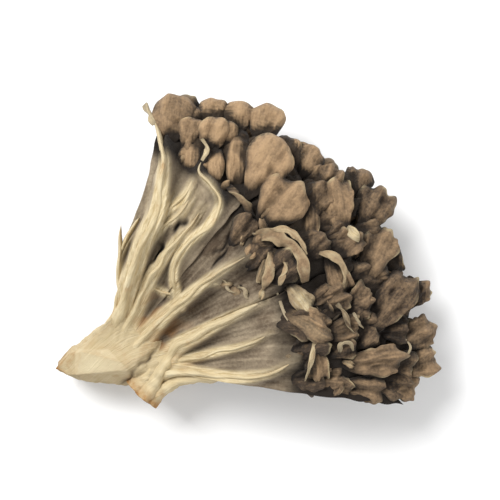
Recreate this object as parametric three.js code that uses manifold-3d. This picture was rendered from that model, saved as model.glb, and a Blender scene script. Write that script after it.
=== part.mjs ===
// A dried maitake piece: a wedge cut from a cluster, lying with its cut side up.
// A cream stem splits into fin-like ribs, and grey-brown fronds fan out from it in
// three tiers, each covered at its outer end by rows of overlapping cap lobes.
// Millimetres, +Z up. Angles are in degrees, anticlockwise from +X, about the hub,
// the point on the stem where the branches part.

import * as THREE from "three";
import Module from "manifold-3d";

const wasm = await Module();
wasm.setup();

// Driving dimensions
const REACH = 78; // hub to cap edge at the lowest angle
const REACH_LOSS = 0.16; // reach lost per degree towards the upper edge
const LOW_ANGLE = -7; // where the fan's lower edge ends
const HIGH_ANGLE = 82; // where the fan's upper edge ends
const CENTRE = [33.2, 27.1, 0]; // middle of the whole piece, measured from the hub
const JOIN_GAP = 0.35; // clearance kept between separate solids
const LOBE_THICKNESS = 1.2;
const LOBE_ROUNDNESS = 0.42; // 0 leaves a lobe's outline square, 0.5 makes it round
const RIB_STEP = 5.5; // length of one straight piece of a rib
const RIB_CLEARANCE = 0.5; // a rib's foot above or below its sheet's face
const SEED = 2417;

// The sheets that the fronds are made of. Heights are of the sheet's middle.
// crest, reach and at are shares of the rim radius; rows hold the rows of cap lobes,
// each with its number of lobes in a frond and the last frond that has the row.
const TIERS = {
  top: {
    start: 8, crest: 0.6, reach: 0.88, inner: 11, peak: 26.5, edge: 12.5,
    thickness: 1.4, flute: 0.7, shoulder: 3.2,
    sectors: [[-8, 22], [24, 50], [52, 81]],
    rows: [
      { at: 0.56, count: 3, last: 2, length: 8.5, width: 7, pitch: 42, curl: -12 },
      { at: 0.77, count: 3, last: 3, length: 11, width: 10, pitch: 6, curl: -36 },
    ],
  },
  middle: {
    start: 8, crest: 0.7, reach: 0.92, inner: 8, peak: 14, edge: 8.5,
    thickness: 1.3, flute: 0.6, shoulder: 1.2,
    sectors: [[-6, 23], [25, 51], [53, 79]],
    rows: [
      { at: 0.84, count: 4, last: 3, length: 12, width: 11, pitch: 4, curl: -34 },
    ],
  },
  lower: {
    start: 9, crest: 0.5, reach: 0.88, inner: 5.2, peak: 5.6, edge: 2.8,
    thickness: 1.3, flute: 0.5, shoulder: 0.4,
    sectors: [[-4, 21], [23, 49], [51, 77]],
    rows: [
      { at: 0.8, count: 3, last: 3, length: 12, width: 12, pitch: -2, curl: -20 },
    ],
  },
};

// The cap lobes that show from above, each from its root to its tip in the plan, with
// its width, and the pitch at its root and at its tip.
const CAPS = [
  { root: [15.2, 51.8], tip: [16.4, 64.6], width: 10.4, pitch: [24, -30] },
  { root: [18.2, 49.8], tip: [20.6, 58.2], width: 7.5, pitch: [34, -24] },
  { root: [20, 52.6], tip: [18.8, 44.4], width: 7, pitch: [40, -38] },
  { root: [23.4, 48], tip: [25.2, 58], width: 9.5, pitch: [38, -24] },
  { root: [25.8, 50.4], tip: [25, 42], width: 5.5, pitch: [44, -40] },
  { root: [31.2, 54.6], tip: [29.8, 41.8], width: 7.5, pitch: [42, -40] },
  { root: [23.8, 54.4], tip: [24.8, 63.4], width: 8, pitch: [20, -40] },
  { root: [30.4, 52.4], tip: [31.4, 63], width: 9, pitch: [20, -38] },
  { root: [35, 50], tip: [38.8, 61.8], width: 10.5, pitch: [20, -40] },
  { root: [32.6, 37.8], tip: [40.8, 52.8], width: 13.5, pitch: [34, -30] },
  { root: [43.6, 42.8], tip: [49.2, 51.8], width: 10, pitch: [22, -38] },
  { root: [36.6, 32.4], tip: [45, 43.2], width: 13, pitch: [40, -20] },
  { root: [46, 30.6], tip: [47.8, 40.4], width: 8.5, pitch: [34, -24] },
  { root: [54.6, 29.4], tip: [52.2, 43], width: 10, pitch: [28, -34] },
  { root: [56.2, 37.4], tip: [60.2, 47], width: 10, pitch: [14, -42] },
  { root: [59, 30.8], tip: [65.2, 41.8], width: 12.5, pitch: [18, -38] },
  { root: [37, 29.4], tip: [48, 26.6], width: 9, pitch: [50, -16] },
  { root: [47.6, 19], tip: [56.4, 26.8], width: 10, pitch: [40, -24] },
  { root: [58.6, 18.8], tip: [65.6, 32], width: 12, pitch: [24, -36] },
  { root: [40, 18.2], tip: [49, 13.4], width: 8.5, pitch: [44, -18] },
  { root: [54.4, 12.6], tip: [61.6, 19], width: 9, pitch: [34, -26] },
  { root: [59.8, 7.8], tip: [71.2, 21], width: 14, pitch: [24, -36] },
  { root: [67, 13.4], tip: [74.8, 21.2], width: 9.5, pitch: [10, -40] },
  { root: [48.6, 7], tip: [59, 10.4], width: 8.5, pitch: [38, -24] },
  { root: [45.8, -2.2], tip: [53, 6], width: 7.5, pitch: [44, -18] },
  { root: [55.8, 0.2], tip: [69, 3.4], width: 11, pitch: [26, -30] },
  { root: [67, 4], tip: [77.8, 10.8], width: 11, pitch: [10, -40] },
  { root: [67.6, -2], tip: [79.2, 1.8], width: 11, pitch: [12, -38] },
  { root: [54.4, -4.4], tip: [65, -7.2], width: 8.5, pitch: [10, -36] },
  { root: [63, -3.2], tip: [72.8, -7.6], width: 8.5, pitch: [6, -38] },
];

// Ribs and limbs of the stem. Each has a path in the plan, and a width and a height
// at its start and its end. It stands on the named tier's sheet, or hangs under it.
const RIBS = [
  { on: "top", width: [6.5, 1.7], height: [7, 2.4],
    path: [[-1, 3], [3.2, 13.8], [6, 21.7], [9.2, 29.5], [12.3, 36.2], [13.6, 43], [13.6, 49],
      [11.2, 55.5], [8.8, 60.2]] },
  { on: "top", width: [2.4, 1.5], height: [4, 2],
    path: [[9.2, 29.5], [13.5, 35.5], [18, 39], [20.7, 44.5]] },
  { on: "top", width: [6, 1.6], height: [7, 2.6],
    path: [[1, 3], [5.6, 12], [10.4, 21.1], [15.3, 27.7], [20, 33.2], [22.4, 37]] },
  { on: "top", width: [2.2, 1.8], height: [4.5, 3],
    path: [[17, 14], [15.6, 20.5], [16.2, 24.4], [19, 28.6], [23.8, 33], [26.6, 38.2], [24.8, 42.5],
      [22.8, 46.5]] },
  { on: "top", width: [6, 1.5], height: [7, 2.6],
    path: [[2, 0], [9.2, 7.7], [14.1, 12.6], [18, 15.8], [23.8, 20.5], [28.6, 23.5], [33.5, 26.4]] },
  { on: "top", width: [6, 2], height: [7.5, 3],
    path: [[8.4, -8.6], [11.7, -1.4], [15.3, 4.1], [21.4, 7.7], [28.6, 11.7], [36.5, 15.6]] },
  { on: "top", width: [2.4, 1.1], height: [4.5, 2],
    path: [[13, 0.5], [19, 1.8], [25, 3.4], [32.3, 5.3], [38, 8.2]] },
  { on: "top", width: [5, 1.8], height: [6.5, 3],
    path: [[9.5, -5], [14.7, -1.6], [22.6, -2], [31, -2.3], [38.3, -0.9], [44, 2.4]] },
  { on: "top", width: [3, 1.3], height: [5, 2.2],
    path: [[-0.5, 5], [2, 12], [2.6, 20], [3, 26.5], [3.4, 33]] },
  { on: "top", width: [1.6, 1.2], height: [3, 2], path: [[3, 26], [5.4, 31], [8, 34.8]] },
  { on: "top", width: [1.3, 1.3], height: [2.6, 2.4], path: [[9.6, 19], [13, 17.4], [17, 16.2]] },
  { on: "middle", width: [4, 1.5], height: [4, 1.4], path: [[3, 8], [8, 20], [13, 33], [16, 45]] },
  { on: "middle", width: [4, 1.5], height: [4, 1.4], path: [[5, 6], [14, 16], [24, 28], [32, 40]] },
  { on: "middle", width: [4, 1.5], height: [4, 1.4], path: [[6, 3], [20, 9], [34, 16], [48, 22]] },
  { on: "middle", width: [4, 1.5], height: [4, 1.4], path: [[6, 0], [20, -0.5], [34, 0], [50, 1]] },
  { on: "lower", width: [4.5, 1.6], height: [-2.6, -1.4], path: [[4, 6], [11, 18], [18, 30], [24, 41]] },
  { on: "lower", width: [4.5, 1.6], height: [-2.6, -1.4], path: [[6, 4], [18, 13], [30, 22], [40, 28]] },
  { on: "lower", width: [4.5, 1.6], height: [-2.6, -1.4], path: [[6, 0], [20, 2], [34, 5], [48, 7]] },
];

// The stem's butt: places along its middle line, with half width and half height.
const BUTT = [
  { at: [-13.5, -0.3, 9], half: [1.2, 3.6] },
  { at: [-10.5, 0, 9.2], half: [3.2, 6.6] },
  { at: [-6, 0.6, 9.4], half: [4.9, 8.8] },
  { at: [-1, 2.2, 9.4], half: [6.8, 10] },
  { at: [4, 4, 9.6], half: [8, 9.8] },
  { at: [8.5, 6.5, 10.5], half: [7.6, 7.6] },
  { at: [12, 9, 11.5], half: [4.5, 3.6] },
];
const BUTT_SIDES = 14;

const COLOURS = { stem: 0xcdb98a, top: 0x86694a, middle: 0x6d5a46, lower: 0x75685a };

// A small generator of repeatable draws between 0 and 1.
function drawsFrom(seed) {
  let state = seed >>> 0;
  return () => {
    state = (Math.imul(state, 1664525) + 1013904223) >>> 0;
    return state / 4294967296;
  };
}

const radians = THREE.MathUtils.degToRad;
const mix = THREE.MathUtils.lerp;

// Distance from the hub to the rim of the caps at an angle.
function rimRadius(angle) {
  return REACH - REACH_LOSS * (angle - LOW_ANGLE);
}

// Height of a tier's sheet at a radius and angle: an S-curve up to the crest, a fall
// beyond it, radial flutes that grow outwards, and a drop towards both cut sides.
function sheetHeight(tier, radius, angle) {
  const share = radius / rimRadius(angle);
  const inwards = THREE.MathUtils.smoothstep(share, 0.05, tier.crest);
  const outwards = Math.max(0, (share - tier.crest) / (1 - tier.crest));
  const rise = mix(tier.inner, tier.peak, inwards);
  const fall = (tier.peak - tier.edge) * outwards ** 1.5;
  const across = (angle - (LOW_ANGLE + HIGH_ANGLE) / 2) / ((HIGH_ANGLE - LOW_ANGLE) / 2);
  const flutes = tier.flute * Math.sin(radians(30 * angle)) * Math.min(1, share * 1.6);
  return rise - fall + flutes - tier.shoulder * across * across * Math.min(1, share * 1.6);
}

// Turns rings of points, each the same length, into a closed solid with end caps.
function loft(rings) {
  const size = rings[0].length;
  const points = rings.flat(2);
  const faces = [];
  for (let i = 0; i + 1 < rings.length; i++) {
    for (let k = 0; k < size; k++) {
      const a = i * size + k;
      const b = i * size + ((k + 1) % size);
      faces.push([a, b, b + size], [a, b + size, a + size]);
    }
  }
  const last = (rings.length - 1) * size;
  for (let k = 1; k + 1 < size; k++) {
    faces.push([0, k + 1, k], [last, last + k, last + k + 1]);
  }
  return solidFrom(points, faces);
}

// Makes a closed blade from two functions of a grid cell, its upper and its lower face.
// Both faces have the same diagonals, and a strip closes the edge.
function blade(columns, rows, pointAt) {
  const stride = columns + 1;
  const layer = stride * (rows + 1);
  const points = [];
  for (const side of [1, -1]) {
    for (let j = 0; j <= rows; j++) {
      for (let i = 0; i <= columns; i++) {
        points.push(...pointAt((2 * i) / columns - 1, j / rows, side));
      }
    }
  }
  const faces = [];
  for (let j = 0; j < rows; j++) {
    for (let i = 0; i < columns; i++) {
      const a = j * stride + i;
      faces.push([a, a + 1, a + stride + 1], [a, a + stride + 1, a + stride]);
      const b = a + layer;
      faces.push([b, b + stride + 1, b + 1], [b, b + stride, b + stride + 1]);
    }
  }
  const edge = [];
  for (let i = 0; i < columns; i++) edge.push(i);
  for (let j = 0; j < rows; j++) edge.push(j * stride + columns);
  for (let i = columns; i > 0; i--) edge.push(rows * stride + i);
  for (let j = rows; j > 0; j--) edge.push(j * stride);
  edge.forEach((a, k) => {
    const b = edge[(k + 1) % edge.length];
    faces.push([a, a + layer, b], [b, a + layer, b + layer]);
  });
  return solidFrom(points, faces);
}

// A manifold solid from flat coordinates and triangles, turned outwards if needed.
function solidFrom(points, faces) {
  const make = (triangles) =>
    new wasm.Manifold(
      new wasm.Mesh({
        numProp: 3,
        vertProperties: new Float32Array(points),
        triVerts: new Uint32Array(triangles.flat()),
      }),
    );
  const solid = make(faces);
  return solid.volume() < 0 ? make(faces.map(([a, b, c]) => [a, c, b])) : solid;
}

// A big block whose face passes through a point, to cut with. The normal points into it.
function halfSpace(point, normal) {
  const size = 300;
  const box = new THREE.BoxGeometry(size, size, size).toNonIndexed();
  const matrix = new THREE.Matrix4();
  const direction = new THREE.Vector3(...normal).normalize();
  const centre = new THREE.Vector3(...point).addScaledVector(direction, size / 2);
  matrix.compose(
    centre,
    new THREE.Quaternion().setFromUnitVectors(new THREE.Vector3(0, 0, 1), direction),
    new THREE.Vector3(1, 1, 1),
  );
  box.applyMatrix4(matrix);
  const corners = [];
  const index = new Map();
  const position = box.getAttribute("position");
  const triangle = [];
  for (let i = 0; i < position.count; i++) {
    const p = [position.getX(i), position.getY(i), position.getZ(i)];
    const key = p.map((x) => x.toFixed(2)).join();
    if (!index.has(key)) {
      index.set(key, corners.length / 3);
      corners.push(...p);
    }
    triangle.push(index.get(key));
  }
  const faces = [];
  for (let i = 0; i < triangle.length; i += 3) faces.push(triangle.slice(i, i + 3));
  return solidFrom(corners, faces);
}

const joined = (solids) => solids.reduce((sum, solid) => sum.add(solid));

// A rib: a fin that follows its path in the plan and stands on its tier's sheet.
// grow makes it fatter all round, for cutting clearance.
function rib({ on, path, width, height }, grow) {
  const tier = TIERS[on];
  const curve = new THREE.CatmullRomCurve3(path.map(([x, y]) => new THREE.Vector3(x, y, 0)));
  const steps = Math.max(4, Math.round(curve.getLength() / RIB_STEP));
  const rings = [];
  for (let i = 0; i <= steps; i++) {
    const share = i / steps;
    const at = curve.getPointAt(share);
    const along = curve.getTangentAt(share);
    const overshoot = i === 0 ? -grow : i === steps ? grow : 0;
    at.addScaledVector(along, overshoot);
    const across = new THREE.Vector3(-along.y, along.x, 0);
    const half = mix(width[0], width[1], share ** 0.6) / 2 + grow;
    const tall = mix(height[0], height[1], share);
    const plan = [at.x, at.y];
    const sign = Math.sign(tall);
    const clear = tier.thickness / 2 + RIB_CLEARANCE - grow;
    const foot = sheetHeight(tier, radiusOf(plan), angleOf(plan)) + sign * clear;
    const top = foot + tall + 2 * sign * grow;
    const waist = mix(foot, top, 0.6);
    const section = [[-1, foot], [-1, waist], [-0.5, top], [0.5, top], [1, waist], [1, foot]];
    rings.push(section.map(([n, z]) => [at.x + across.x * n * half, at.y + across.y * n * half, z]));
  }
  return loft(rings);
}

// The butt: rounded sections lofted along its middle line.
function butt(grow) {
  const rings = BUTT.map(({ at, half }, i) => {
    const before = BUTT[Math.max(0, i - 1)].at;
    const after = BUTT[Math.min(BUTT.length - 1, i + 1)].at;
    const along = new THREE.Vector2(after[0] - before[0], after[1] - before[1]).normalize();
    const end = i === 0 ? -grow : i === BUTT.length - 1 ? grow : 0;
    return Array.from({ length: BUTT_SIDES }, (_, k) => {
      const turn = (2 * Math.PI * k) / BUTT_SIDES;
      const out = (half[0] + grow) * Math.cos(turn);
      return [
        at[0] - along.y * out + along.x * end,
        at[1] + along.x * out + along.y * end,
        at[2] + (half[1] + grow) * Math.sin(turn),
      ];
    });
  });
  return loft(rings);
}

// The whole stem, optionally grown. The knife has left two flat faces on the butt.
function stem(grow) {
  const upperCut = halfSpace([-3, 0, 16.8 + grow], [-0.22, -0.2, 0.95]);
  const endCut = halfSpace([-11.8 - grow, 1.2 + grow, 9], [-0.78, 0.6, 0.16]);
  const trimmed = butt(grow).subtract(upperCut).subtract(endCut);
  return joined([trimmed, ...RIBS.map((shape) => rib(shape, grow))]);
}

// A frond's sheet between two angles, with a scalloped outer edge. grow makes it thicker.
function sheet(tier, [low, high], grow) {
  const columns = 8;
  const rows = 6;
  return blade(columns, rows, (u, v, side) => {
    const share = v ** 0.9;
    const spread = 0.9 + 0.1 * Math.sqrt(share);
    const middle = (low + high) / 2;
    const angle = middle + ((high - low) / 2) * u * spread;
    const scallop = 1 + 0.03 * Math.cos(radians(40 * angle)) * v;
    const radius = mix(tier.start, rimRadius(angle) * tier.reach * scallop, share);
    const z = sheetHeight(tier, radius, angle) + side * (tier.thickness / 2 + grow);
    return [radius * Math.cos(radians(angle)), radius * Math.sin(radians(angle)), z];
  });
}

// One cap lobe: a rounded blade on a curved middle line that runs from its root to its
// tip in the plan. Its pitch turns from the first to the second value on the way, and its
// sides droop and wave. A square grid is drawn in at its corners to round the outline.
// grow makes it bigger all round, for cutting clearance.
function lobe({ root, tip, foot, width, pitch, roll, phase }, grow) {
  const start = radians(pitch[0]);
  const bend = radians(pitch[1] - pitch[0]);
  const forward = new THREE.Vector3(tip[0] - root[0], tip[1] - root[1], 0);
  const length = (forward.length() * bend) / (Math.sin(start + bend) - Math.sin(start));
  forward.normalize();
  const upright = new THREE.Vector3(0, 0, 1);
  const across = new THREE.Vector3(-forward.y, forward.x, 0)
    .multiplyScalar(Math.cos(radians(roll)))
    .addScaledVector(upright, Math.sin(radians(roll)));
  return blade(3, 3, (p, step, side) => {
    const q = 2 * step - 1;
    const u = p * Math.sqrt(1 - LOBE_ROUNDNESS * q * q);
    const v = (1 + q * Math.sqrt(1 - LOBE_ROUNDNESS * p * p)) / 2;
    const along = v + (grow / length) * (2 * v - 1);
    const half = (width / 2) * (0.56 + 0.52 * Math.sin((Math.min(1, v * 1.5) * Math.PI) / 2)) + grow;
    const turn = start + bend * along;
    const reach = (length * (Math.sin(turn) - Math.sin(start))) / bend;
    const lift = (length * (Math.cos(start) - Math.cos(turn))) / bend;
    const droop = 0.16 * width * u * u * (0.3 + 0.7 * v);
    const wave = 0.07 * width * Math.sin(1.5 * Math.PI * u + phase) * v * v;
    const depth = side * ((LOBE_THICKNESS / 2) * (1 - 0.2 * v) + grow);
    return new THREE.Vector3(root[0], root[1], foot)
      .addScaledVector(forward, reach - depth * Math.sin(turn))
      .addScaledVector(across, half * u)
      .addScaledVector(upright, lift - droop + wave + depth * Math.cos(turn))
      .toArray();
  });
}

const radiusOf = ([x, y]) => Math.hypot(x, y);
const angleOf = ([x, y]) => THREE.MathUtils.radToDeg(Math.atan2(y, x));

// The lobes of one frond: those of the list whose roots it holds on the top tier, and
// staggered rows, each lobe a little different, on the tiers below.
function lobesOf(name, number, tier, [low, high], draw) {
  const shapes = [];
  if (name === "top") {
    for (const cap of CAPS) {
      if (angleOf(cap.root) < low - 1 || angleOf(cap.root) > high + 1) continue;
      shapes.push({ ...cap, roll: 22 * (draw() - 0.5), phase: 2 * Math.PI * draw() });
    }
  }
  tier.rows.forEach((row, rowIndex) => {
    if (number > row.last) return;
    const step = (high - low) / row.count;
    for (let i = 0; i < row.count; i++) {
      const stagger = rowIndex % 2 ? 0.62 : 0.38;
      const angle = low + step * (i + stagger) + step * 0.2 * (draw() - 0.5);
      const radius = rimRadius(angle) * (row.at + 0.04 * (draw() - 0.5));
      const size = 0.82 + 0.36 * draw();
      const facing = radians(angle + 30 * (draw() - 0.5));
      const root = [radius * Math.cos(radians(angle)), radius * Math.sin(radians(angle))];
      const length = row.length * size;
      shapes.push({
        root,
        tip: [root[0] + length * Math.cos(facing), root[1] + length * Math.sin(facing)],
        width: row.width * (0.85 + 0.3 * draw()) * size,
        pitch: [row.pitch + 12 * (draw() - 0.5), row.curl + 16 * (draw() - 0.5)],
        roll: 20 * (draw() - 0.5),
        phase: 2 * Math.PI * draw(),
      });
    }
  });
  for (const shape of shapes) {
    shape.foot = sheetHeight(tier, radiusOf(shape.root), angleOf(shape.root)) - 0.2;
  }
  return shapes;
}

// Keeps the largest body of a solid, so no loose scrap is left after a cut.
function largestBody(solid) {
  return solid.decompose().reduce((best, part) => (part.volume() > best.volume() ? part : best));
}

// A solid as a named mesh, placed from the middle of the piece.
function meshOf(name, solid, colour) {
  const { vertProperties, triVerts } = solid.translate(CENTRE.map((x) => -x)).getMesh();
  const positions = new Float32Array(vertProperties);
  const geometry = new THREE.BufferGeometry();
  geometry.setAttribute("position", new THREE.BufferAttribute(positions, 3));
  geometry.setIndex(new THREE.BufferAttribute(new Uint32Array(triVerts), 1));
  geometry.computeVertexNormals();
  const material = new THREE.MeshStandardMaterial({ color: colour, roughness: 0.95 });
  const mesh = new THREE.Mesh(geometry, material);
  mesh.name = name;
  return mesh;
}

const group = new THREE.Group();
const below = halfSpace([0, 0, 0], [0, 0, -1]);
const stemClearance = stem(JOIN_GAP);
group.add(meshOf("stem", largestBody(stem(0).subtract(below)), COLOURS.stem));

// Each frond is cut back from the stem and from the fronds placed before it.
const draw = drawsFrom(SEED);
const taken = [];
for (const [tierName, tier] of Object.entries(TIERS)) {
  tier.sectors.forEach((sector, i) => {
    const shapes = lobesOf(tierName, i + 1, tier, sector, draw);
    const solidOf = (grow) =>
      joined([sheet(tier, sector, grow), ...shapes.map((shape) => lobe(shape, grow))]);
    let frond = solidOf(0).subtract(stemClearance).subtract(below);
    for (const other of taken) frond = frond.subtract(other);
    taken.push(solidOf(JOIN_GAP));
    group.add(meshOf(`${tierName}_frond_${i + 1}`, largestBody(frond), COLOURS[tierName]));
  });
}

export default group;
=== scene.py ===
import math
import bpy
import numpy as np
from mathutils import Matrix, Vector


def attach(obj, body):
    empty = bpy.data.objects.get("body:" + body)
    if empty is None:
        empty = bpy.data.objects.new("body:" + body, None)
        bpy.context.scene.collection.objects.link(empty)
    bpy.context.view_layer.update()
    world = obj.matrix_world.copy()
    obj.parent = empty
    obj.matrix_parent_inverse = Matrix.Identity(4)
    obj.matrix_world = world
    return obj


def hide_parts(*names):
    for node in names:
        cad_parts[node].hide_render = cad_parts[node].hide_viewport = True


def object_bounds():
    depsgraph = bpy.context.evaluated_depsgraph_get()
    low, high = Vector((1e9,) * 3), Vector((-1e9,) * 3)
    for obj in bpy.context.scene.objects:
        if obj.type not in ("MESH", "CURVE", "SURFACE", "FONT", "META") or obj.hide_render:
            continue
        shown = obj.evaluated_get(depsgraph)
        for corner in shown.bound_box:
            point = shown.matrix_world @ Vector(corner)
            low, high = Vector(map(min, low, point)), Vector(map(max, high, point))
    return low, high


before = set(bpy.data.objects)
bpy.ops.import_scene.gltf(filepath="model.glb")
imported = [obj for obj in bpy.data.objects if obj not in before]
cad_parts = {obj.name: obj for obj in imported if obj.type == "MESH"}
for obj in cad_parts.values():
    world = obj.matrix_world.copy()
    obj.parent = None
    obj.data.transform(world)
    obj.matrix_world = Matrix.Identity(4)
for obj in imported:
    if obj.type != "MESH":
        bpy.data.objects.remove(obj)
CAD_BOX = [list(corner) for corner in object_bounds()]

bl_info = {
    "name": "Dried maitake piece",
    "version": (1, 0, 0),
    "blender": (4, 5, 0),
    "location": "3D View > Sidebar > Maitake",
    "description": "Makes a wedge of dried maitake: a cream stem with ribs, and three tiers of fronds",
    "category": "Add Mesh",
}

MM = 0.001  # shapes are worked out in millimetres and put into meshes in metres

# The hub is the place on the stem where the branches part. Plans are measured from it.
HUB = np.array([-33.2, -27.1, 0.0])
ROOT_SINK = 0.2  # how deep a lobe's root sinks into its sheet
GROUND = 0.05  # lowest height of a rib or a lobe
SHEET_GROUND = 0.02  # lowest height of a sheet
SOFT_TOP = 29.4  # what rises above this is drawn in smoothly
TOP_ROOM = 1.45  # and stays below this much more
FURROW_DEPTH, SLIT_DEPTH, CREASE_DEPTH = 0.13, 0.7, 0.9  # in sheets, web and butt
GRAIN_RADIUS = 34  # where a sheet's grain across the angle is as long as it reads
SWELL_WAVES = 9  # sine waves in the soft noise
CURVE_STEPS = 60  # places on each stretch of a curve before they are spaced evenly

# Starts of the noise seeds, each counted on from the frond's own.
CAP_SEED, CURL_SEED, FILLER_SEED, PLATE_SEED, CRUMB_SEED = 11, 300, 500, 700, 900
BUTT_SEED, RIB_SEED, STAIN_SEED = 5, 40, 77  # and those of the stem and of the stains

# The repeatable draws: each state is the last one times a factor plus a step.
DRAW_FACTOR, DRAW_STEP, DRAW_RANGE = 1664525, 1013904223, 4294967296

# Points along the grids of the blades, and along and round the tubes.
SHEET_GRIDS = {"top": (104, 108), "middle": (80, 80), "lower": (80, 80)}
CAP_GRID, FILLER_GRID, PLATE_GRID, CRUMB_GRID = 29, 23, 19, 13
BUTT_RINGS, BUTT_SIDES = 110, 120
RIB_SIDES, RIB_STATIONS = 36, 70
CURL_RINGS, CURL_SIDES = 44, 16

# The tiers of fronds. start is a sheet's inner radius; crest, reach and at are shares of
# the rim radius; inner, peak and edge are heights of the sheet's middle. flute is the
# height of its radial waves, shoulder its drop towards the cut sides, and sectors are the
# fronds' angles. rows hold the rows of cap lobes: how many a frond has, the last frond
# that has them, their length and width, and their pitch at the root and at the tip.
TIERS = {
    "top": {
        "start": 8, "crest": 0.6, "reach": 0.88, "inner": 11, "peak": 26.5, "edge": 12.5,
        "thickness": 1.4, "flute": 0.7, "shoulder": 3.2,
        "sectors": [(-8, 22), (24, 50), (52, 81)],
        "rows": [
            {"at": 0.56, "count": 3, "last": 2, "length": 8.5, "width": 7, "pitch": 42, "curl": -12},
            {"at": 0.77, "count": 3, "last": 3, "length": 11, "width": 10, "pitch": 6, "curl": -36},
        ],
    },
    "middle": {
        "start": 8, "crest": 0.7, "reach": 0.92, "inner": 8, "peak": 14, "edge": 8.5,
        "thickness": 1.3, "flute": 0.6, "shoulder": 1.2,
        "sectors": [(-6, 23), (25, 51), (53, 79)],
        "rows": [
            {"at": 0.84, "count": 4, "last": 3, "length": 12, "width": 11, "pitch": 4, "curl": -34},
        ],
    },
    "lower": {
        "start": 9, "crest": 0.5, "reach": 0.88, "inner": 5.2, "peak": 5.6, "edge": 2.8,
        "thickness": 1.3, "flute": 0.5, "shoulder": 0.4,
        "sectors": [(-4, 21), (23, 49), (51, 77)],
        "rows": [
            {"at": 0.8, "count": 3, "last": 3, "length": 12, "width": 12, "pitch": -2, "curl": -20},
        ],
    },
}

# The cap lobes of the top tier: root and tip in the plan, width, pitch at root and tip,
# taper (1 narrows the root, -1 the tip) and how much lighter the lobe is than the rest.
CAPS = [
    ((14.6, 51.4), (15.6, 63.8), 11.4, (20, -30), 0.1, -0.42),
    ((18.2, 49.8), (20.4, 58.2), 7, (34, -24), 0.2, -0.28),
    ((20, 53), (18.8, 45.4), 6.6, (82, -10), 0.8, 0),
    ((23, 49.4), (26.2, 58.4), 8.6, (38, -24), -0.3, 0),
    ((25.6, 51), (25, 42.8), 4.6, (80, -8), 0.3, 0.04),
    ((31.2, 56), (29.8, 41.6), 6.8, (72, -6), -0.1, 0),
    ((23.8, 54.4), (24.8, 63.2), 7.8, (20, -40), 0.3, -0.2),
    ((30, 53.4), (30.8, 62.6), 8.2, (24, -38), 0.4, -0.1),
    ((35.4, 50), (37.8, 62), 9.6, (22, -40), 0.2, -0.14),
    ((32, 38.2), (40.4, 52.8), 13.4, (34, -30), 1, 0.02),
    ((43.4, 43.2), (48.8, 51.6), 9, (24, -38), 0.4, -0.04),
    ((35.2, 32), (44.6, 43), 13, (42, -22), 0.1, 0.04),
    ((47.4, 40.2), (45, 30), 7.8, (70, -8), 0.9, 0.02),
    ((54.8, 29), (52.4, 44), 9.2, (30, -34), 0.2, 0.34),
    ((56.2, 37.4), (60.2, 47), 9, (14, -42), 0.2, -0.05),
    ((59, 30.8), (65.2, 41.8), 10.4, (20, -38), 0.2, -0.08),
    ((38.6, 28.2), (45.6, 24.6), 6.4, (16, -18), 0, -0.6),
    ((50.6, 27.4), (55.2, 16.4), 6.2, (50, -44), 0, 0.12),
    ((58.6, 18.8), (65.6, 32), 10, (26, -36), 0.1, 0.2),
    ((41.2, 14.6), (50.6, 9.2), 6.4, (46, -26), -0.2, 0.24),
    ((54.4, 12.6), (61, 18.4), 7, (34, -26), 0.1, -0.06),
    ((59.4, 7.4), (71.4, 21), 10.6, (26, -36), 0, -0.12),
    ((67.4, 12), (74.8, 20), 8, (12, -40), 0.2, 0.1),
    ((48.6, 7), (59, 10.4), 6.8, (40, -26), 0.1, 0.14),
    ((47.6, 8.2), (48.6, -3.4), 6.2, (46, -40), 0, 0.34),
    ((54, 0.4), (69, 2.4), 8.8, (26, -30), -0.2, 0.06),
    ((66.6, 4.2), (76.6, 9.6), 9.2, (14, -40), 0.2, 0.16),
    ((67, -0.8), (78.2, 1.6), 9.4, (14, -38), 0.1, 0.24),
    ((54, -3.8), (65, -6), 8, (12, -36), 0, 0.16),
    ((63, -3), (73, -5.6), 8.2, (10, -38), 0, 0.16),
]

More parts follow.
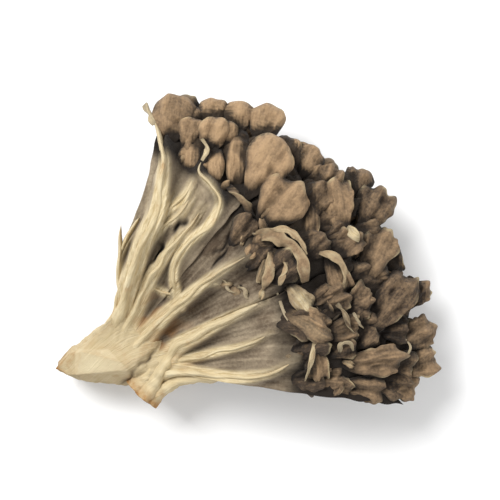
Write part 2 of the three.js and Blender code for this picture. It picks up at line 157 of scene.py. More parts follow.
# Smaller lobes and flakes that fill the gaps between them, each with its share of cream.
FILLERS = [
    ((49, 14.5), (56, 18), 8, (30, -20), 0),
    ((52, 9.5), (58.5, 14.5), 7.5, (36, -26), 0),
    ((50.5, 3), (57.4, 7), 7.4, (38, -24), 0),
    ((57, 4.6), (62, 9.4), 7, (34, -30), 0),
    ((46, 8.4), (51.4, 12), 6, (46, -18), 0),
    ((43.4, 1.6), (48.2, 5), 5.5, (44, -14), 0),
    ((52.4, 25.4), (58.4, 31.6), 8.5, (32, -24), 0),
    ((33.8, 27.8), (38.4, 31), 5.5, (52, -6), 0),
    ((49.4, 33.4), (53.4, 37), 7, (36, -24), 0),
    ((61.4, 12), (67.6, 14), 7.5, (22, -30), 0),
    ((64.6, 8.4), (70.4, 11), 7, (18, -34), 0),
    ((62.6, 23), (69, 27), 8.5, (18, -36), 0),
    ((48, -2.6), (55, -2.2), 6.5, (28, -26), 0),
    ((55, 20.6), (61, 23), 7, (34, -26), 0),
    ((47.4, 36.8), (53, 42.2), 7.5, (26, -30), 0),
    ((26.8, 51), (28.6, 57.4), 6, (36, -30), 0),
    ((33.6, 47.6), (36, 53.6), 6.5, (40, -26), 0),
    ((40, 47.4), (43.4, 53.8), 7, (20, -38), 0),
    ((17, 55), (20, 61.6), 7, (22, -34), 0),
    ((37.6, 27.4), (35.6, 18.6), 3.6, (50, -24), 0.35),
    ((41.2, 24), (39.4, 19), 3.2, (50, -34), 0.5),
    ((40.6, 13.8), (52, 6.4), 5.6, (52, -38), 0.08),
    ((49.6, 10.4), (48.4, 0.6), 3.6, (44, -30), 0.3),
    ((45.6, 39.6), (47.8, 43.6), 4, (30, -30), 0),
    ((49.6, 39.6), (53.6, 47), 6.4, (32, -34), 0),
    ((22.4, 57.4), (27.2, 61.4), 4.4, (20, -30), 0),
    ((38.4, 22.4), (44, 21), 4.6, (30, -30), 0),
    ((41.8, 19.4), (47.2, 13), 6, (52, -36), 0.66),
    ((25, 20.2), (29.4, 19.6), 3.4, (40, -40), 0.3),
    ((28.6, 19.2), (31.2, 15.8), 2.6, (50, -50), 0.2),
    ((31, 19.2), (34.4, 15.6), 3, (50, -50), 0.25),
]

# Ribs and limbs of the stem: the tier, width and height at start and end, the path in
# the plan, and whether the start is a blunt cut end that shows.
RIBS = [
    ("top", (6.5, 2.3), (7, 7), [(-1, 3), (3.2, 13.8), (6, 21.7), (9.2, 29.5), (12.3, 36.2),
                                 (13.3, 43), (13.4, 49), (11.4, 55.5), (8.8, 61)], False),
    ("top", (2.4, 1.5), (4, 2), [(9.2, 29.5), (13.5, 35.5), (18, 39), (20.7, 44.5)], False),
    ("top", (6, 1.6), (7, 2.6), [(1, 3), (5.6, 12), (10.4, 21.1), (15.3, 27.7), (20, 33.2),
                                 (22.4, 37)], False),
    ("top", (2.2, 1.5), (4.5, 4.4), [(17, 14), (15.6, 20.5), (16.2, 24.4), (19, 28.6), (23.8, 33),
                                     (26.2, 38), (24.2, 42.2), (21.6, 45.2), (22.6, 49.2)], False),
    ("top", (6, 1.5), (7, 2.6), [(2, 0), (9.2, 7.7), (14.1, 12.6), (18, 15.8), (23.8, 20.5),
                                 (28.6, 23.5), (33.5, 26.4)], False),
    ("top", (6, 2), (7.5, 3), [(7.8, -7.8), (10.6, -4.2), (12.8, -0.2), (15.6, 4.1), (21.4, 7.7),
                               (28.6, 11.7), (36.5, 15.6)], True),
    ("top", (2.4, 1.1), (4.5, 2), [(13, 0.5), (19, 1.8), (25, 3.4), (32.3, 5.3), (38, 8.2)], False),
    ("top", (5, 1.8), (6.5, 3), [(9.5, -5), (14.7, -1.6), (22.6, -2), (31, -2.3), (38.3, -0.9),
                                 (44, 2.4)], False),
    ("top", (3, 1.3), (5, 2.2), [(-0.5, 5), (2, 12), (2.6, 20), (3, 26.5), (3.4, 33)], False),
    ("top", (1.6, 1.2), (3, 2), [(3, 26), (5.4, 31), (8, 34.8)], False),
    ("top", (1.3, 1.3), (2.6, 2.4), [(9.6, 19), (13, 17.4), (17, 16.2)], False),
    ("top", (2.6, 1.2), (4.6, 2), [(3.6, 9), (7.2, 20), (9.4, 27.4), (13.2, 32.4), (17.4, 35.6),
                                   (20.4, 41)], False),
    ("top", (1.8, 1.1), (3.4, 1.8), [(3.4, 16), (5.2, 22), (7, 28.5), (9.6, 34), (11.2, 38.6)], False),
    ("top", (2.2, 1.4), (4, 1.6), [(17.2, 15.2), (20.5, 18.4), (24, 19.6), (27, 19.2)], False),
    ("top", (6, 3.4), (6.6, 3.6), [(5.8, -5.8), (9, -2.4), (12.4, 1.2), (17.4, 5.4)], True),
    ("top", (5, 2.6), (6.2, 2.4), [(9.4, -9), (12.6, -5.8), (16.4, -3.8), (21, -2.9), (27, -3.1)], True),
    ("top", (4.6, 1.4), (2.8, 2.4), [(-6.4, 3), (-2.4, 6.8), (0.7, 11.8), (2.4, 17.4), (3, 23)], False),
    ("middle", (4, 1.5), (4, 1.4), [(3, 8), (8, 20), (13, 33), (16, 45)], False),
    ("middle", (4, 1.5), (4, 1.4), [(5, 6), (14, 16), (24, 28), (32, 40)], False),
    ("middle", (4, 1.5), (4, 1.4), [(6, 3), (20, 9), (34, 16), (48, 22)], False),
    ("middle", (4, 1.5), (4, 1.4), [(6, 0), (20, -0.5), (34, 0), (50, 1)], False),
    ("lower", (4.5, 1.6), (-2.6, -1.4), [(4, 6), (11, 18), (18, 30), (24, 41)], False),
    ("lower", (4.5, 1.6), (-2.6, -1.4), [(6, 4), (18, 13), (30, 22), (40, 28)], False),
    ("lower", (4.5, 1.6), (-2.6, -1.4), [(6, 0), (20, 2), (34, 5), (48, 7)], False),
]

# Small curled strips on the top tier: the frond's number, the path as plan and lift
# above the sheet, width at start and end, turns of twist, share of cream flesh, and tone.
CURLS = [
    (2, [(10.8, 56.4, 4.6), (9.8, 59, 5.4), (8.3, 61.6, 4.4)], (2, 2.6), 0.15, 0.45, 0.7),
    (1, [(34.2, 30.6, 2.0), (37.2, 30.4, 4.2), (40.6, 29.6, 5.6), (43.4, 27.4, 6), (45, 24, 5.4),
         (45.6, 20, 3)], (3.8, 3.2), 0.08, 0.08, 1.66),
    (1, [(37.8, 31.8, 4.4), (41.2, 31.6, 6.2), (44.4, 29.4, 6.4), (46, 26.2, 5.6)],
     (2, 1.5), 0.12, 0.32, 1.85),
    (1, [(49, 26.4, 3.4), (52, 25.8, 5.4), (54.6, 22.8, 5.4), (54.8, 18.4, 3)], (2, 1.8), 0.2, 0.3, 1.8),
    (0, [(48.6, 8.6, 3), (47.4, 4.4, 4.2), (46.6, 0.4, 3.6), (45.6, -3.4, 1.8)],
     (1.5, 1.1), 0.25, 0.6, 1.6),
    (1, [(37.6, 28.2, 2), (37.8, 25, 3.6), (37.2, 21.4, 3.4), (36.2, 18.4, 1.4)],
     (2.6, 2.2), 0.15, 0.12, 1.7),
    (1, [(41.8, 25.6, 2.6), (41, 22.8, 4.2), (39.8, 19.2, 2.6)], (2, 1.6), 0.2, 0.3, 1.8),
    (2, [(28.2, 41.8, 1.6), (30.2, 39.4, 3.6), (32.4, 37.2, 2.8), (34.4, 34.6, 1.4)],
     (2.6, 1.8), 0.7, 0.0, 1.5),
    (2, [(22.2, 47.6, 4.6), (23.4, 50.2, 5.6), (22.2, 52.8, 5)], (1.2, 2), 0.3, 0.6, 0.6),
    (1, [(25.6, 20.6, 0.4), (27.2, 20.2, 1.6), (28.2, 18.2, 1.9), (30.0, 17.2, 0.7)],
     (1.5, 0.8), 0.9, 0.3, 0.5),
    (1, [(30.4, 18.8, 0.4), (32.0, 17.9, 1.8), (32.4, 16.4, 1.2), (33.8, 15.2, 0.5)],
     (1.3, 0.8), 0.9, 0.3, 0.5),
    (1, [(55.8, 32.4, 4.0), (57.2, 30.6, 5.6), (58.2, 29.2, 4.4)], (2.4, 1.6), 0.1, 0.85, 0.8),
    (0, [(53.0, 14.8, 4.0), (54.6, 12.6, 5.6), (55.8, 9.8, 5.4), (57.6, 6.8, 4.0)],
     (1.5, 1.0), 1.1, 0.2, 1.2),
    (0, [(53.6, 4.0, 3.4), (54.0, 5.8, 5.4), (55.8, 6.0, 5.6), (56.8, 4.2, 4.0)],
     (1.4, 1.0), 0.6, 0.4, 0.3),
    (0, [(39.4, 17.4, 0.5), (40.8, 13.2, 1.2), (43.6, 8.2, 1.3), (46.4, 3.6, 0.9), (47.6, 0.4, 0.5)],
     (0.9, 0.7), 0.1, 0.3, 0.8),
    (0, [(56.8, 12.8, 4.2), (57.8, 10.8, 5.6), (59.2, 9.2, 4.6)], (1.2, 0.7), 0.8, 0.3, 0.6),
    (0, [(69.4, 6.4, 3.0), (70.6, 4.4, 3.9), (69.0, 1.4, 3.4)], (0.8, 0.5), 0.4, 0.5, 0.8),
]

# Slits where the top tier's web has split, sunk and painted dark as shade: both ends in plan, and the half
# width.
SLITS = [
    (24.6, 23.2, 28.6, 28.2, 0.4),
    (25.2, 26.2, 28.4, 29.8, 0.32),
    (27, 27, 30.8, 34.6, 0.5),
    (30.6, 27.4, 33.4, 31.6, 0.35),
    (15.6, 31, 18.2, 33.8, 0.6),
    (10.6, 24.4, 13.4, 28.6, 0.3),
]

# The crease between the butt and the second cut limb, in the same way; it is sunk and painted dark as
# shade.
CREASES = [(2.6, -5.1, 6.8, -0.4, 0.5), (6.8, -0.4, 11, 3.4, 0.4)]

# The butt: places along its middle line, with half width and half height.
BUTT = np.array([
    (-13.5, -0.3, 9, 1.2, 3.6),
    (-10.5, 0, 9.2, 3.2, 6.6),
    (-6, 0.5, 9.4, 5.3, 8.8),
    (-1, 1.8, 9.4, 7.4, 10),
    (4, 3.4, 9.6, 8.9, 9.8),
    (8.5, 6, 10.5, 8.2, 7.6),
    (12, 9, 11.5, 4.5, 3.6),
])

# The knife's flat faces, a point on each and the outward normal, and last the ground.
KNIFE_CUTS = [
    ((-3, 0, 16.8), (-0.22, -0.2, 0.95)),
    ((-8, 0, 15.3), (-0.62, -0.05, 0.78)),
    ((-3, -3.2, 14.4), (-0.05, -0.82, 0.57)),
    ((-4, 4.8, 16.2), (-0.06, 0.4, 0.9)),
    ((-11.8, 1.2, 9), (-0.78, 0.6, 0.16)),
    ((0, 0, 0), (0, 0, -1)),
]


def linear(code):
    """A colour's three linear shares from its six-figure screen code."""
    shares = np.array([int(code[k:k + 2], 16) for k in (0, 2, 4)]) / 255
    curved = ((shares + 0.055) / 1.055) ** 2.4
    return tuple(float(share) for share in np.where(shares <= 0.04045, shares / 12.92, curved))


def colour_property(name, description, code):
    """A colour setting of the sidebar, with its default from a screen code."""
    return bpy.props.FloatVectorProperty(
        name=name, description=description, subtype="COLOR", size=3, min=0, max=1, default=linear(code))


class MaitakeForm(bpy.types.PropertyGroup):
    """Sizes of the whole piece, in millimetres and degrees."""

    reach: bpy.props.FloatProperty(
        name="Reach", description="Hub to cap edge at the fan's lowest angle, in mm",
        default=78, min=40, max=120)
    reach_loss: bpy.props.FloatProperty(
        name="Reach loss", description="Reach lost per degree towards the upper edge, in mm", default=0.16)
    low_angle: bpy.props.FloatProperty(
        name="Low angle", description="Where the fan's lower edge ends, in degrees", default=-7)
    high_angle: bpy.props.FloatProperty(
        name="High angle", description="Where the fan's upper edge ends, in degrees", default=82)
    lobe_thickness: bpy.props.FloatProperty(
        name="Lobe thickness", description="Thickness of a cap lobe, in mm",
        default=1.2, min=0.6, max=3)
    ruffle: bpy.props.FloatProperty(
        name="Ruffle", description="Height of the waves along a lobe's margin, in mm",
        default=0.55, min=0, max=2)
    wrinkle: bpy.props.FloatProperty(
        name="Wrinkle", description="Depth of the fine furrows on a lobe, in mm",
        default=0.22, min=0, max=0.6)
    seed: bpy.props.IntProperty(
        name="Seed", description="Start of the repeatable draws that shape the lobes", default=2417)


class MaitakeFinish(bpy.types.PropertyGroup):
    """Colours of the flesh and of the fronds, and of their painted highlight and shade."""

    flesh: colour_property("Flesh", "Cream of the stem and its ribs", "d6c6a2")
    # Palest cream: the painted highlight on the butt's upper knife face, and pale streaks on the ribs
    pale_cream_and_highlight: colour_property("Knife face", "Palest cream, on the upper knife face", "e6dab8")
    flesh_shade: colour_property("Flesh shade", "Darker cream between the fibres", "ae986c")
    ochre: colour_property("Ochre", "Stains at the cuts and at the rib roots", "a0713a")
    web_light: colour_property("Light web", "Pale grey-brown of the sheets between the ribs", "b0a087")
    # Dark grey-brown of the sheets and of their pores, and also the colour of the painted shade in the
    # sheets' furrows and on the stem
    dark_web_and_shade: colour_property("Dark web", "Dark grey-brown in the sheets' furrows", "5c4d3d")
    cap_light: colour_property("Light cap", "Light brown of the upper lobes", "a98c6a")
    cap_dark: colour_property("Dark cap", "Dark brown of the right-hand lobes", "483b2f")
    margin: colour_property("Margin", "Pale edge of a lobe", "c0ae88")
    pores: colour_property("Pores", "Pale underside with its pores", "9a8a70")
    # Near black of the painted shade in the deepest gaps, laid on by the deep tint
    shade_near_black: colour_property("Hollow", "Near black of the deepest hollows", "1a130d")


class MaitakeView(bpy.types.PropertyGroup):
    """The camera and the light."""

    width: bpy.props.FloatProperty(
        name="View width", description="Width that the camera sees at the piece",
        default=0.118, unit="LENGTH")
    lens: bpy.props.FloatProperty(
        name="Lens", description="Focal length, in mm", default=100, min=20, max=300)
    key: bpy.props.FloatProperty(
        name="Key light", description="Power of the key light, in watts", default=4.4)
    fill: bpy.props.FloatProperty(
        name="Fill light", description="Power of the fill light, in watts", default=1.2)
    sky: bpy.props.FloatProperty(
        name="Sky", description="Strength of the light from all round", default=0.52)


def smooth(x, low, high):
    """A share that rises from 0 at low to 1 at high along 3t squared less 2t cubed."""
    t = np.clip((x - low) / (high - low), 0, 1)
    return t * t * (3 - 2 * t)


def swell(x, y, length, seed):
    """Soft noise of about -1 to 1: the sum of sine waves in seeded directions, each within
    a third of the wavelength, divided by the root of their number."""
    rng = np.random.default_rng(seed)
    total = np.zeros(np.broadcast(x, y).shape)
    for _ in range(SWELL_WAVES):
        turn, phase, stretch = rng.uniform(0, 2 * np.pi, 3)
        k = 2 * np.pi / (length * (0.67 + 0.66 * stretch / (2 * np.pi)))
        total += np.sin(k * (np.cos(turn) * x + np.sin(turn) * y) + phase)
    return total / math.sqrt(SWELL_WAVES)


def polar(x, y):
    """A place's distance from the hub, and its angle in degrees."""
    return np.hypot(x, y), np.degrees(np.arctan2(y, x))


def plan_line(radius, angle, length, facing):
    """Both ends of a line in the plan: the first from its radius and angle, the second at
    a length from it in the direction it faces. Angles are in radians."""
    x, y = radius * math.cos(angle), radius * math.sin(angle)
    return (x, y), (x + length * math.cos(facing), y + length * math.sin(facing))


def rim_radius(form, angle):
    """Distance from the hub to the caps' rim: the reach less a loss for each degree."""
    return form.reach - form.reach_loss * (angle - form.low_angle)


def sheet_height(form, tier, radius, angle):
    """Height of a sheet: an S-curve up to the crest, a fall beyond it, radial flutes that
    grow outwards, and a drop towards both cut sides with the square of the angle."""
    share = radius / rim_radius(form, angle)
    rise = tier["inner"] + (tier["peak"] - tier["inner"]) * smooth(share, 0.05, tier["crest"])
    outwards = np.maximum(0, (share - tier["crest"]) / (1 - tier["crest"]))
    fall = (tier["peak"] - tier["edge"]) * outwards ** 1.5
    middle = (form.low_angle + form.high_angle) / 2
    across = (angle - middle) / (form.high_angle - middle)
    grown = np.minimum(1, share * 1.6)
    flute = tier["flute"] * np.sin(np.radians(30 * angle))
    return rise - fall + (flute - tier["shoulder"] * across ** 2) * grown


def curve_through(points, count):
    """Evenly spaced places, their unit tangents and the length of a centripetal
    Catmull-Rom curve: each stretch is a cubic whose end slopes come from the neighbours,
    weighted by the root of their distances."""
    p = np.array(points, float)
    p = np.vstack([2 * p[0] - p[1], p, 2 * p[-1] - p[-2]])
    gap = np.sqrt(np.linalg.norm(np.diff(p, axis=0), axis=1))[:, None]
    a, b, c, d = p[:-3], p[1:-2], p[2:-1], p[3:]
    g0, g1, g2 = gap[:-2], gap[1:-1], gap[2:]
    s1 = ((b - a) / g0 - (c - a) / (g0 + g1) + (c - b) / g1) * g1
    s2 = ((c - b) / g1 - (d - b) / (g1 + g2) + (d - c) / g2) * g1
    t = np.linspace(0, 1, CURVE_STEPS)[None, :, None]
    cubic = (2 * b - 2 * c)[:, None] * t ** 3 + (s1 + s2)[:, None] * t ** 3 \
        + (3 * c - 3 * b - 2 * s1 - s2)[:, None] * t ** 2 + s1[:, None] * t + b[:, None]
    dense = cubic.reshape(-1, p.shape[1])
    run = np.concatenate([[0], np.cumsum(np.linalg.norm(np.diff(dense, axis=0), axis=1))])
    even = np.linspace(0, run[-1], count)
    places = np.stack([np.interp(even, run, dense[:, k]) for k in range(p.shape[1])], axis=1)
    tangents = np.gradient(places, axis=0)
    return places, tangents / np.linalg.norm(tangents, axis=1)[:, None], run[-1]


class Shells:
    """Collects closed shells for one mesh: places in mm, faces, UVs in mm and tints."""

    # deep carries painted shade; on the butt, the sheets and the lobes the tone also carries painted light
    # and shade
    TINTS = ("flesh", "margin", "under", "tone", "deep", "stain")

    def __init__(self):
        self.places, self.quads, self.triangles, self.uvs = [], [], [], []
        self.tints = {name: [] for name in self.TINTS}
        self.count = 0

    def add(self, places, quads, triangles, uv, tints):
        """Adds one shell. tints maps a name to one value for each place, or to a number."""
        self.places.append(places)
        self.quads.append(quads + self.count)
        self.triangles.append(triangles + self.count)
        self.uvs.append(uv)
        for name in self.TINTS:
            self.tints[name].append(np.broadcast_to(tints.get(name, 0.0), len(places)))
        self.count += len(places)

    def add_blade(self, top, bottom, uv, top_tints, bottom_tints):
        """A closed blade from two equal grids of places, joined round their edge."""
        rows, columns = top.shape[:2]
        index = np.arange(rows * columns).reshape(rows, columns)
        lower = index + rows * columns
        cell = np.stack([index[:-1, :-1], index[:-1, 1:], index[1:, 1:], index[1:, :-1]], axis=-1)
        under = np.stack([lower[:-1, :-1], lower[1:, :-1], lower[1:, 1:], lower[:-1, 1:]], axis=-1)
        rim = np.concatenate([index[0, :-1], index[:-1, -1], index[-1, :0:-1], index[:0:-1, 0]])
        after = np.roll(rim, -1)
        strip = np.stack([rim, rim + rows * columns, after + rows * columns, after], axis=-1)
        quads = np.concatenate([cell.reshape(-1, 4), under.reshape(-1, 4), strip])
        tints = {}
        for name in self.TINTS:
            values = [side.get(name, 0.0) for side in (top_tints, bottom_tints)]
            tints[name] = np.concatenate([np.broadcast_to(v, (rows, columns)).ravel() for v in values])
        places = np.concatenate([top.reshape(-1, 3), bottom.reshape(-1, 3)])
        self.add(places, quads, np.zeros((0, 3), int), np.tile(uv.reshape(-1, 2), (2, 1)), tints)

    def add_loft(self, rings, uv, tints):
        """A closed tube from rings of places, with a pole at each end's middle."""
        count, size = rings.shape[:2]
        index = np.arange(count * size).reshape(count, size)
        beside = np.roll(index, -1, axis=1)
        quads = np.stack([index[:-1], beside[:-1], beside[1:], index[1:]], axis=-1).reshape(-1, 4)
        first, last = count * size, count * size + 1
        start = np.stack([beside[0], index[0], np.full(size, first)], axis=-1)
        finish = np.stack([index[-1], beside[-1], np.full(size, last)], axis=-1)
        places = np.concatenate([rings.reshape(-1, 3), [rings[0].mean(0), rings[-1].mean(0)]])
        uv = np.concatenate([uv.reshape(-1, 2), [uv[0].mean(0), uv[-1].mean(0)]])
        spread = {}
        for name, value in tints.items():
            value = np.broadcast_to(value, (count, size))
            spread[name] = np.concatenate([value.ravel(), [value[0].mean(), value[-1].mean()]])
        self.add(places, quads, np.concatenate([start, finish]), uv, spread)

    def make(self, name, material, slot, node):
        """Puts the shells into one object that stands for a CAD node. A height's excess e
        over the soft top becomes e times the room over e plus the room."""
        places = np.concatenate(self.places)
        over = np.maximum(0, places[:, 2] - SOFT_TOP)
        places[:, 2] -= over ** 2 / (over + TOP_ROOM)
        places = (places + HUB) * MM
        quads = np.concatenate(self.quads)
        triangles = np.concatenate(self.triangles)
        corners = np.concatenate([quads.ravel(), triangles.ravel()])
        first = np.arange(len(triangles)) * 3 + quads.size
        starts = np.concatenate([np.arange(len(quads)) * 4, first])
        mesh = bpy.data.meshes.new(name)
        mesh.vertices.add(len(places))
        mesh.vertices.foreach_set("co", places.ravel())
        mesh.loops.add(len(corners))
        mesh.loops.foreach_set("vertex_index", corners)
        mesh.polygons.add(len(starts))
        mesh.polygons.foreach_set("loop_start", starts)
        mesh.polygons.foreach_set("use_smooth", np.ones(len(starts), bool))
        grain = mesh.uv_layers.new(name="grain")
        grain.data.foreach_set("uv", np.concatenate(self.uvs)[corners].ravel())
        for tint, values in self.tints.items():
            layer = mesh.attributes.new(tint, "FLOAT", "POINT")
            layer.data.foreach_set("value", np.concatenate(values).astype(np.float32))
        mesh.update(calc_edges=True)
        mesh.validate()
        mesh.materials.append(material)
        piece = bpy.data.objects.new(name, mesh)
        bpy.context.scene.collection.objects.link(piece)
        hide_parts(node)
        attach(piece, "root")


def rib_course(rib, count):
    """A rib's places, tangents, length, shares, half widths and heights. The half width
    falls with the share to the power 0.6 and the height evenly."""
    _, widths, heights, path, _ = rib
    places, tangents, length = curve_through(path, count)
    share = np.linspace(0, 1, count)
    half = (widths[0] + (widths[1] - widths[0]) * share ** 0.6) / 2
    tall = heights[0] + (heights[1] - heights[0]) * share
    return places, tangents, length, share, half, tall


def line_depth(x, y, lines, seed):
    """How deep each place lies in one of the lines, from 0 to 1: a bell over the distance
    to a line, which soft noise bends, with a half sine along it."""
    depth = 0 * x
    x = x + 0.5 * swell(x, y, 4, seed)
    for x0, y0, x1, y1, half in lines:
        square = (x1 - x0) ** 2 + (y1 - y0) ** 2
        along = np.clip(((x - x0) * (x1 - x0) + (y - y0) * (y1 - y0)) / square, 0, 1)
        gap = np.hypot(x - x0 - along * (x1 - x0), y - y0 - along * (y1 - y0))
        depth = np.maximum(depth, np.exp(-(gap / half) ** 2) * np.sin(np.pi * (0.12 + 0.76 * along)))
    return depth


def add_rib(shells, form, rib, seed):
    """A rib: a flattened oval that narrows towards its top, carried along the rib's path.
    Two bell-shaped grooves run along its back, soft noise bends the path and changes the
    size on the way, and the far end closes in a rounded point."""
    tier_name, widths, _, path, cut = rib
    count = max(30, len(path) * 15)
    places, tangents, length, share, half, tall = rib_course(rib, count)
    foot = sheet_height(form, TIERS[tier_name], *polar(places[:, 0], places[:, 1]))
    run = share * length
    still = 0 * run
    sign = np.sign(tall[0])
    thick = TIERS[tier_name]["thickness"] / 2
    side = np.stack([-tangents[:, 1], tangents[:, 0]], axis=1)
    places = places + side * (0.25 * swell(run, still, 8, seed) * np.sin(np.pi * share))[:, None]
    tip = 1 - 0.7 * smooth(share, 0.84, 1)
    root = 1.0 if cut else 0.35 + 0.65 * smooth(share, 0, 0.16)
    slim = 1 - (0.1 if cut or widths[0] < 4 else 0.4) * smooth(share, 0.03, 0.3)
    half = half * tip * slim * (1 - 0.14 * (1 + swell(run, still, 6, seed + 1)) / 2)
    tall = np.abs(tall) * tip * root * (1 - 0.14 * (1 + swell(run, still, 9, seed + 2)) / 2)
    turn = np.linspace(0, 2 * np.pi, RIB_SIDES + 1)[:-1]
    level = (np.sin(turn) + 1) / 2
    out = np.sign(np.cos(turn)) * np.abs(np.cos(turn)) ** 0.7
    out = out * (1 - (0.12 if cut else 0.3) * level ** 1.6)
    sink = thick + 0.5
    height = -sink + (tall[:, None] + sink + thick) * level ** 0.85
    for k, aside in enumerate((-0.42, 0.38)):
        line = np.pi / 2 + aside + 0.3 * swell(run, still, 13, seed + 6 + k)[:, None]
        strength = np.clip(0.6 + 0.6 * swell(run, still, 10, seed + 8 + k), 0, 1)
        strength = (strength * smooth(share, 0.02, 0.12))[:, None]
        height = height - 0.13 * half[:, None] * strength * np.exp(-((turn - line) / 0.13) ** 2)
    fibre = 1 + 0.04 * swell(9 * turn[None, :] / np.pi, run[:, None], 2.2, seed + 3)
    closing = (1 - 0.85 * smooth(share, 0.93, 1) ** 2)[:, None]
    height = height * closing
    across = half[:, None] * out[None, :] * fibre * closing
    rings = np.empty((count, len(turn), 3))
    rings[:, :, :2] = places[:, None, :] + side[:, None, :] * across[:, :, None]
    rings[:, :, 2] = np.maximum(GROUND, foot[:, None] + height * sign)
    uv = np.stack(np.broadcast_arrays(turn[None, :] * half[:, None], run[:, None]), axis=-1)
    low = level[None, :] + 0 * share[:, None]
    if sign < 0:
        rings, uv, low = rings[:, ::-1], uv[:, ::-1], low[:, ::-1]
    spent = smooth(share, 0.6, 1.1)[:, None]
    cut_stain = 0.9 * np.exp(-((share * length) / 2.2) ** 2)[:, None] * float(cut)
    side_stain = 0.5 * np.exp(-((low - 0.5) / 0.14) ** 2) * (1 - smooth(share, 0.5, 0.95))[:, None]
    shells.add_loft(rings, uv, {
        "flesh": 1 - 0.4 * spent - 0.3 * (1 - smooth(low, 0.3, 0.75)),
        "margin": cut_stain + side_stain,
        "tone": 0.5 + 0.2 * swell(run[:, None], 4 * low, 6, seed + 4),
        # Painted shade along the rib's foot
        "deep": 0.35 * (1 - smooth(low, 0.2, 0.7)) * smooth(share, 0.0, 0.2)[:, None],
    })


def add_butt(shells, form, seed):
    """The butt: ovals whose centre and half sizes follow a smooth curve, roughened by soft
    noise, then pressed flat onto each knife cut that they pass. Where ribs leave it, its
    upper side is raised by a soft maximum to the flesh between them, and a crease parts it
    from the second limb."""
    stations, _, _ = curve_through(BUTT, BUTT_RINGS)
    heading = np.gradient(stations[:, :2], axis=0)
    heading /= np.linalg.norm(heading, axis=1)[:, None]
    turn = np.linspace(0, 2 * np.pi, BUTT_SIDES + 1)[:-1]
    x, y, z, wide, high = (stations[:, k][:, None] for k in range(5))
    along, around = x + 0 * turn, turn + 0 * x
    rough = 0.22 * swell(along, 7 * around, 5, seed) + 0.1 * swell(along, 9 * around, 1.6, seed + 1)
    out = (wide - 0.3 + rough) * np.cos(turn)
    rings = np.stack([
        x - heading[:, 1:] * out,
        y + heading[:, :1] * out,
        z + (high - 0.3 + rough) * np.sin(turn),
    ], axis=-1)
    edge = np.zeros(rings.shape[:2])
    faced = np.zeros(rings.shape[:2])
    # The upper knife face, which gets a painted highlight
    top_facet_highlight = np.zeros(rings.shape[:2])
    for k, (point, normal) in enumerate(KNIFE_CUTS):
        normal = np.array(normal) / np.linalg.norm(normal)
        beyond = (rings - np.array(point)) @ normal
        edge = np.maximum(edge, np.exp(-np.abs(beyond - 0.1) / 0.45))
        top_facet_highlight = smooth(beyond, -0.1, 0.2) if k == 0 else top_facet_highlight * (1 - smooth(beyond, -0.1, 0.2))
        faced = np.maximum(faced, smooth(beyond, -0.1, 0.3))
        rings = rings - np.maximum(0, beyond)[..., None] * normal
    px, py, pz = (rings[..., k] for k in range(3))
    rise, _ = nearest_ribs("top", px, py)
    radius, angle = polar(px, py)
    flesh = 0.3 + sheet_height(form, TIERS["top"], radius, np.clip(angle, -20, 90)) + 1.15 * rise
    gain = (flesh - pz) / 2 + np.hypot((flesh - pz) / 2, 0.5)
    beside = px + py
    forward = smooth(beside, 0.4, 5) * (1 - smooth(x, 7.5, 11.5))
    within = (1 - smooth(beside, 3.4, 4.2)) * (1 - smooth(py, 3.6, 4.2)) * smooth(px, -8.6, -7.8)
    top_facet_highlight = np.maximum(top_facet_highlight, 0.8 * smooth(py, -2.4, -1.8) * smooth(pz, 9, 11)) * within
    crease = line_depth(px, py, CREASES, seed + 2) * smooth(pz, 8, 11)
    rings[..., 2] += gain * forward * smooth(pz, 9.5, 12.5) - CREASE_DEPTH * crease
    uv = np.stack(np.broadcast_arrays(turn * wide, x), axis=-1)
    left = smooth(-rings[..., 0], 9, 13)
    # Tints: a painted highlight on the upper knife face by the tone; painted shade by the deep tint, a
    # little everywhere, less on that face and more towards the bottom and in the crease; flesh greyer
    # towards the bottom; ochre at the cut edges, most at the left tip
    shells.add_loft(rings, uv, {
        "flesh": np.clip(0.92 + 0.08 * faced - 0.12 * smooth(-rings[..., 2], -8, 0), 0, 1),
        "margin": np.clip(edge * (0.25 + 0.9 * left), 0, 1),
        "tone": 0.4 + 0.5 * top_facet_highlight,
        "deep": 0.12 - 0.05 * top_facet_highlight + 0.25 * smooth(-rings[..., 2], -6, 0) + 0.6 * crease,
    })


def nearest_ribs(tier_name, x, y):
    """How far the flesh of the nearest ribs rises at each place of the plan, and how close
    the nearest one is, from 0 to 1. Both fall as a bell curve with the distance."""
    reach = 0.9 + 3.6 * np.exp(-(np.hypot(x, y) / 12) ** 2)
    rise = np.zeros(x.shape)
    close = np.zeros(x.shape)
    for rib in RIBS:
        if rib[0] != tier_name:
            continue
        places, _, _, share, half, tall = rib_course(rib, RIB_STATIONS)
        gap = np.hypot(x[..., None] - places[:, 0], y[..., None] - places[:, 1]) - half * 0.85
        gap = np.maximum(0, gap)
        tall = tall * (1 - 0.6 * smooth(share, 0.8, 1))
        lifts = tall * 0.72 * np.exp(-(gap / reach[..., None]) ** 1.6)
        best = np.argmax(np.abs(lifts), axis=-1)[..., None]
        chosen = np.take_along_axis(lifts, best, axis=-1)[..., 0]
        rise = np.where(np.abs(chosen) > np.abs(rise), chosen, rise)
        width = 0.15 + 0.4 * reach[..., None]
        near = np.exp(-(gap / width) ** 2) * (1 - 0.8 * smooth(share, 0.5, 1))
        close = np.maximum(close, near.max(-1))
    return rise, close


